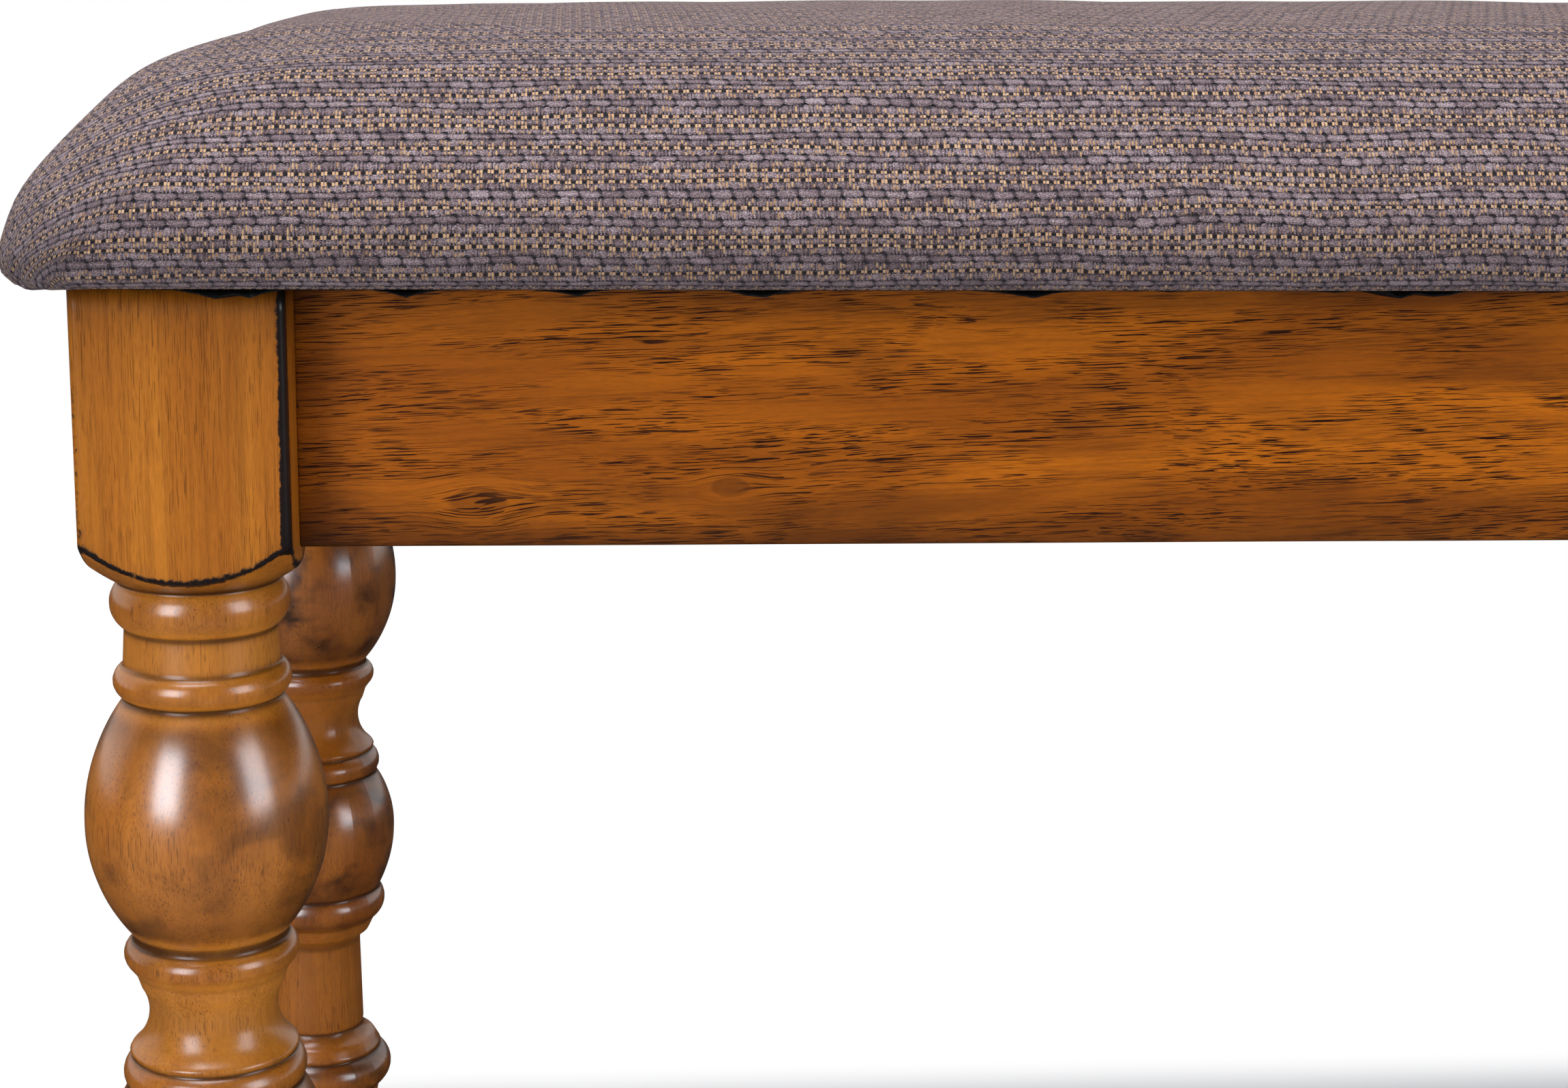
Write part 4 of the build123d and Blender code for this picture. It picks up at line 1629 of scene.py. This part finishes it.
@dataclass
class DustCover:
    """Black cloth under the seat, its cut edge sagging raggedly below the cover."""

    patch_columns: int = 250
    patch_rows: int = 44
    rings: int = 16
    inset: float = 4.0
    sag: float = 2.6
    sag_reach: float = 9.0
    thickness: float = 0.4
    ring_depth: float = 120.0
    corner_radius: float = 31.4
    near_end: float = -300.0
    waves: tuple[tuple[float, float, float], ...] = (
        (83, 1.0, 0.2),
        (37, 0.8, 1.3),
        (17, 0.5, 2.6),
        (9.1, 0.3, 0.9),
    )
    front_sags: tuple[tuple[float, float, float], ...] = (
        (-551, 7, 2.5),
        (-541, 3, 2.3),
        (-501, 5, 2.1),
        (-457, 4, 2.0),
        (-407, 6, 2.2),
        (-334, 8, 2.0),
    )

    def build(self, material: bpy.types.Material) -> bpy.types.Object:
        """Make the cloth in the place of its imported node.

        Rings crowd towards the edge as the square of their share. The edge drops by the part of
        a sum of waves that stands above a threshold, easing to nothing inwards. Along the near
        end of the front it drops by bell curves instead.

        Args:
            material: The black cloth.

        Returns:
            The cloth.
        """
        low, high = corners("dust_cover")
        half = high[:2] - self.inset
        plan = RoundedPlan(half[0], half[1], self.patch_columns, self.patch_rows, self.rings)
        layout = plan.layout()
        share = np.linspace(1, 0, self.rings + 1)
        inset = self.ring_depth * share**2
        radius = self.corner_radius * (1 - share)
        x, y = plan.spread(layout, inset, radius, radius)
        ring = layout["ring"]
        around = x + 1.7 * y
        waves = ripple(around, self.waves)
        drop = np.clip((waves - 0.6) / 1.4, 0, 1) * self.sag
        bells = sum(deep * bell(x - at, wide) for at, wide, deep in self.front_sags)
        bells = bells * (0.85 + 0.15 * np.sin(x * 1.9)) + 0.15 * np.sin(x * 0.9)
        drop = np.where((y < 0) & (x < self.near_end), np.maximum(bells, 0), drop)
        drop = drop * np.cos(2 * layout["turn"]) ** 2
        near = np.clip(1 - inset[ring] / self.sag_reach, 0, 1)
        z = (low[2] + high[2]) / 2 - (drop + 0.25) * near * near * (3 - 2 * near)
        points = np.stack([x, y, z], axis=-1)
        rows, columns, _ = points.shape
        faces = grid_faces(rows, columns, closed=False)
        piece = make_piece("dust_cloth", points, [faces[:, ::-1]], material)
        thick = piece.modifiers.new("thickness", "SOLIDIFY")
        thick.thickness = self.thickness * MM
        thick.offset = 0
        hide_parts("dust_cover")
        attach(piece, BODY)
        return piece


@dataclass
class Staples:
    """Wire staples that hold the black cloth to the underside of the seat board."""

    crown: float = 10.0
    wire: float = 0.6
    bend: float = 1.0
    inset: float = 17.0
    pitch: float = 42.0
    leg: float = 3.0
    sides: int = 6

    def build(self, material: bpy.types.Material) -> bpy.types.Object:
        """Make every staple in one mesh.

        A staple is a round wire carried along its crown, with both ends turned up into the
        board. The same points are repeated at every place, turned to lie along the edge.

        Args:
            material: The zinc-plated steel.

        Returns:
            The staples.
        """
        low, high = corners("dust_cover")
        half, bend = self.crown / 2, self.bend
        path = [(half - bend, 0), (half - bend / 3, bend / 3), (half, bend), (half, self.leg)]
        path = np.array([(-x, y) for x, y in path[::-1]] + path)
        along = np.gradient(path, axis=0)
        along /= np.linalg.norm(along, axis=1, keepdims=True)
        turn = np.arange(self.sides) * 2 * math.pi / self.sides
        wire = self.wire / 2
        section = np.zeros((len(path), self.sides, 3))
        section[..., 0] = path[:, :1] - along[:, 1:] * wire * np.cos(turn)
        section[..., 1] = wire * np.sin(turn)
        section[..., 2] = path[:, 1:] + along[:, :1] * wire * np.cos(turn)
        edge_x, edge_y = high[0] - self.inset, high[1] - self.inset
        run_x = np.arange(-edge_x + self.pitch, edge_x - self.pitch / 2, self.pitch)
        run_y = np.arange(-edge_y + self.pitch, edge_y - self.pitch / 2, self.pitch)
        places = np.concatenate([
            [(x, side * edge_y, 0.0) for x in run_x for side in (-1, 1)],
            [(side * edge_x, y, 1.0) for y in run_y for side in (-1, 1)],
        ])
        turned = places[:, 2:3, None]
        x, y, z = section[..., 0].ravel(), section[..., 1].ravel(), section[..., 2].ravel()
        local = np.stack([x, y], axis=-1)[None]
        swapped = np.stack([-y, x], axis=-1)[None]
        flat = places[:, None, :2] + np.where(turned > 0, swapped, local)
        height = np.broadcast_to(low[2] - wire + z, flat.shape[:2])
        points = np.concatenate([flat, height[..., None]], axis=-1)
        each = len(path) * self.sides
        faces = grid_faces(len(path), self.sides, closed=True)
        every = (faces[None] + np.arange(len(places))[:, None, None] * each).reshape(-1, 4)
        piece = make_piece("dust_cloth_staples", points.reshape(-1, 3), [every], material)
        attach(piece, BODY)
        return piece


@dataclass
class HiddenFrame:
    """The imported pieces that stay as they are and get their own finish."""

    def dress(self) -> None:
        """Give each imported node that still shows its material."""
        steel = ZincSteel().material("zinc_plate")
        block, rail = RawWood(Grain.LENGTHWISE), RawWood(Grain.DEPTHWISE)
        finishes = {
            "glide_": MouldedNylon().material("glide_nylon"),
            "corner_block_f": block.material("corner_block_wood"),
            "corner_block_r": replace(block, pale=(204, 170, 124)).material("corner_block_wood_pale"),
            "left_cross_rail": rail.material("cross_rail_wood"),
            "right_cross_rail": replace(rail, deep=(150, 110, 70)).material("cross_rail_wood_dark"),
            "seat_board": replace(block, layers=650.0).material("seat_plywood"),
            "hanger_": steel,
            "corner_block_screws": steel,
            "seat_screws": steel,
        }
        for name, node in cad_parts.items():
            found = [finish for start, finish in finishes.items() if name.startswith(start)]
            if node.hide_render or not found:
                continue
            node.data.materials.clear()
            node.data.materials.append(found[-1])
            LOG.info("%s: packed node with %s", name, found[-1].name)


@dataclass
class Studio:
    """Camera, lamps, white world and the pale floor."""

    eye: tuple[float, float, float] = (-0.4559, -0.9450, 0.5056)
    yaw: float = 4.26
    pitch: float = 12.23
    roll: float = -0.61
    lens: float = 64.8
    sensor: float = 36.0
    ambient: float = 0.26
    room: float = 0.03
    floor_half: float = 9.0
    floor_tone: float = 0.88
    mirrored_tone: float = 0.02
    shadow_reach: float = 0.06
    tint: tuple[float, float, float] = (0.95, 0.985, 1.07)

    def camera(self) -> None:
        """Set the camera where the photograph was taken from.

        Yaw turns the view from +Y towards +X, pitch turns it down, and roll turns the picture
        about the line of sight.
        """
        yaw, pitch, roll = (math.radians(angle) for angle in (self.yaw, self.pitch, self.roll))
        level = math.cos(pitch)
        ahead = np.array([math.sin(yaw) * level, math.cos(yaw) * level, -math.sin(pitch)])
        right = np.array([math.cos(yaw), -math.sin(yaw), 0.0])
        down = np.cross(ahead, right)
        turned_right = math.cos(roll) * right + math.sin(roll) * down
        turned_down = math.cos(roll) * down - math.sin(roll) * right
        matrix = np.eye(4)
        matrix[:3, :3] = np.stack([turned_right, -turned_down, -ahead], axis=-1)
        matrix[:3, 3] = self.eye
        data = bpy.data.cameras.new("camera")
        data.lens, data.sensor_width = self.lens, self.sensor
        camera = bpy.data.objects.new("camera", data)
        bpy.context.scene.collection.objects.link(camera)
        camera.matrix_world = Matrix(matrix.tolist())
        bpy.context.scene.camera = camera

    def lamp(
        self, name: str, place: Place, aim: Place, size: tuple[float, float], power: float
    ) -> None:
        """Add one soft box.

        Args:
            name: The lamp's name.
            place: Where it stands.
            aim: The point that it faces.
            size: Its width and height.
            power: Its power in watts.
        """
        data = bpy.data.lights.new(name, "AREA")
        data.shape = "RECTANGLE"
        data.size, data.size_y = size
        data.energy = power
        data.color = self.tint
        lamp = bpy.data.objects.new(name, data)
        bpy.context.scene.collection.objects.link(lamp)
        facing = np.array(aim) - np.array(place)
        back = -facing / np.linalg.norm(facing)
        side = np.cross((0, 0, 1), back) if abs(back[2]) < 0.99 else np.array([1.0, 0.0, 0.0])
        side /= np.linalg.norm(side)
        turn = np.eye(4)
        turn[:3, :3] = np.stack([side, np.cross(back, side), back], axis=-1)
        lamp.matrix_world = Matrix.Translation(place) @ Matrix(turn.tolist())

    def lamps(self) -> None:
        """Light the bench from soft boxes in front on its left and right, above and behind."""
        leg = (-0.563, -0.156, 0.28)
        self.lamp("left_box", (-2.17, -2.69, 1.25), leg, (1.3, 2.0), 57.0)
        self.lamp("right_box", (3.06, -2.27, 1.65), leg, (1.8, 2.8), 64.0)
        self.lamp("top_box", (-0.9, -0.25, 2.7), (-0.2, 0, 0.4), (1.8, 1.4), 60.0)
        self.lamp("rear_box", (0.5, 3.6, 2.0), (0, 0, 0.4), (2.4, 1.4), 9.0)

    def world(self) -> None:
        """White to the camera, a plain grey light for the rest, and in reflections a white backdrop.

        The backdrop stands behind the bench, and reflections of the room in front fade to a
        share of it.
        """
        world = bpy.data.worlds.new("studio")
        world.use_nodes = True
        bpy.context.scene.world = world
        graph = Graph.of_world(world)
        _, depth, _ = graph.axes(graph.output("ShaderNodeTexCoord", "Generated"))
        backdrop = self.room + depth.rise(-0.25, 0.35) * (1 - self.room)
        path = graph.node("ShaderNodeLightPath").outputs
        kinds = ("Camera", "Glossy", "Transmission")
        seen, glossy, through = (Value(graph, path[f"Is {kind} Ray"]) for kind in kinds)
        strength = seen.most(through).most(glossy * backdrop).most((1.0 - glossy) * self.ambient)
        inputs = {"Color": (1, 1, 1, 1), "Strength": strength}
        light = graph.output("ShaderNodeBackground", "Background", inputs)
        graph.node("ShaderNodeOutputWorld", {"Surface": light})

    def floor(self) -> None:
        """Pale floor that keeps the shadow near the bench and is white to the camera beyond.

        The lacquer mirrors a darker floor, so that it stays clear of haze. From below the floor
        is clear, so that the underside can be seen.
        """
        graph = Graph("pale_floor")
        low, high = (np.array(c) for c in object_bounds())
        across, along, _ = graph.axes(graph.place())
        past_x = (abs(across) - float(high[0])).most(0.0)
        past_y = (abs(along) - float(high[1])).most(0.0)
        far = (past_x * past_x + past_y * past_y).root()
        camera = graph.value("ShaderNodeLightPath", "Is Camera Ray")
        white = far.rise(0.0, self.shadow_reach) * camera
        matte, dim = (
            graph.output("ShaderNodeBsdfDiffuse", "BSDF", {"Color": (tone, tone, tone, 1)})
            for tone in (self.floor_tone, self.mirrored_tone)
        )
        glow = graph.output("ShaderNodeEmission", "Emission", {"Color": (1, 1, 1, 1), "Strength": 1.0})
        clear = graph.output("ShaderNodeBsdfTransparent", "BSDF")
        mirrored = graph.value("ShaderNodeLightPath", "Is Glossy Ray")
        below = graph.value("ShaderNodeNewGeometry", "Backfacing")
        shown = matte
        for share, other in ((mirrored, dim), (white, glow), (below, clear)):
            inputs = {"Fac": share, "Shader": shown, "Shader_001": other}
            shown = graph.output("ShaderNodeMixShader", "Shader", inputs)
        graph.node("ShaderNodeOutputMaterial", {"Surface": shown})
        half = self.floor_half
        mesh = bpy.data.meshes.new("floor")
        rim = [(-half, -half, 0), (half, -half, 0), (half, half, 0), (-half, half, 0)]
        mesh.from_pydata(rim, [], [(0, 1, 2, 3)])
        mesh.materials.append(graph.material)
        floor = bpy.data.objects.new("floor", mesh)
        bpy.context.scene.collection.objects.link(floor)
        floor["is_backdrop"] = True

    def build(self) -> None:
        """Set up the whole studio."""
        self.camera()
        self.lamps()
        self.world()
        self.floor()
        bpy.context.scene.view_settings.view_transform = "Standard"


def main() -> None:
    """Dress the bench, from its legs up to its seat, and set up the studio."""
    logging.basicConfig(level=logging.INFO, format="%(name)s %(message)s")
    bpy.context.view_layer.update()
    Studio().build()
    stain = AntiqueStain(Grain.UPRIGHT, rings=0.12)
    front_wood = stain.material("front_leg_stain")
    # The rear legs get a darker, smokier copy of the stain: painted shade, for the shadow of the seat
    # and aprons that they stand in.
    rear_shaded_stain = replace(
        stain, pale=(176, 102, 24), deep=(144, 76, 12), smoke=1.0, warmth=0.1, paleness=0.1
    )
    rear_shaded_wood = rear_shaded_stain.material("rear_leg_shaded_stain")
    for corner, side_x, side_y, wood in (
        ("front_left", -1, -1, front_wood),
        ("front_right", 1, -1, front_wood),
        ("rear_left", -1, 1, rear_shaded_wood),
        ("rear_right", 1, 1, rear_shaded_wood),
    ):
        TurnedLeg(corner, side_x, side_y).build(wood)
    board = AntiqueStain(
        Grain.LENGTHWISE, pale=(188, 101, 4), deep=(146, 74, 2), figure=(36.0, 5.0), flow=4.5,
        pores=(3300.0, 80.0), pore_low=0.565, pore_depth=1.0, streaks=0.28, scorch=0.42, tilt=0.035,
    )
    knotty = replace(board, knots=((-484.0, 348.0, 6.0), (-413.0, 352.0, 4.0)))
    long_wood = knotty.material("long_apron_stain")
    end_wood = replace(board, grain=Grain.DEPTHWISE).material("end_apron_stain")
    Apron("front_apron", Grain.LENGTHWISE, -1).build(long_wood)
    Apron("rear_apron", Grain.LENGTHWISE, 1).build(long_wood)
    Apron("left_apron", Grain.DEPTHWISE, -1).build(end_wood)
    Apron("right_apron", Grain.DEPTHWISE, 1).build(end_wood)
    SeatPad().build(ChenilleWeave().material("chenille_weave"))
    DustCover().build(BlackCloth().material("black_cloth"))
    Staples().build(ZincSteel().material("staple_steel"))
    HiddenFrame().dress()


if __name__ == "__main__":
    main()
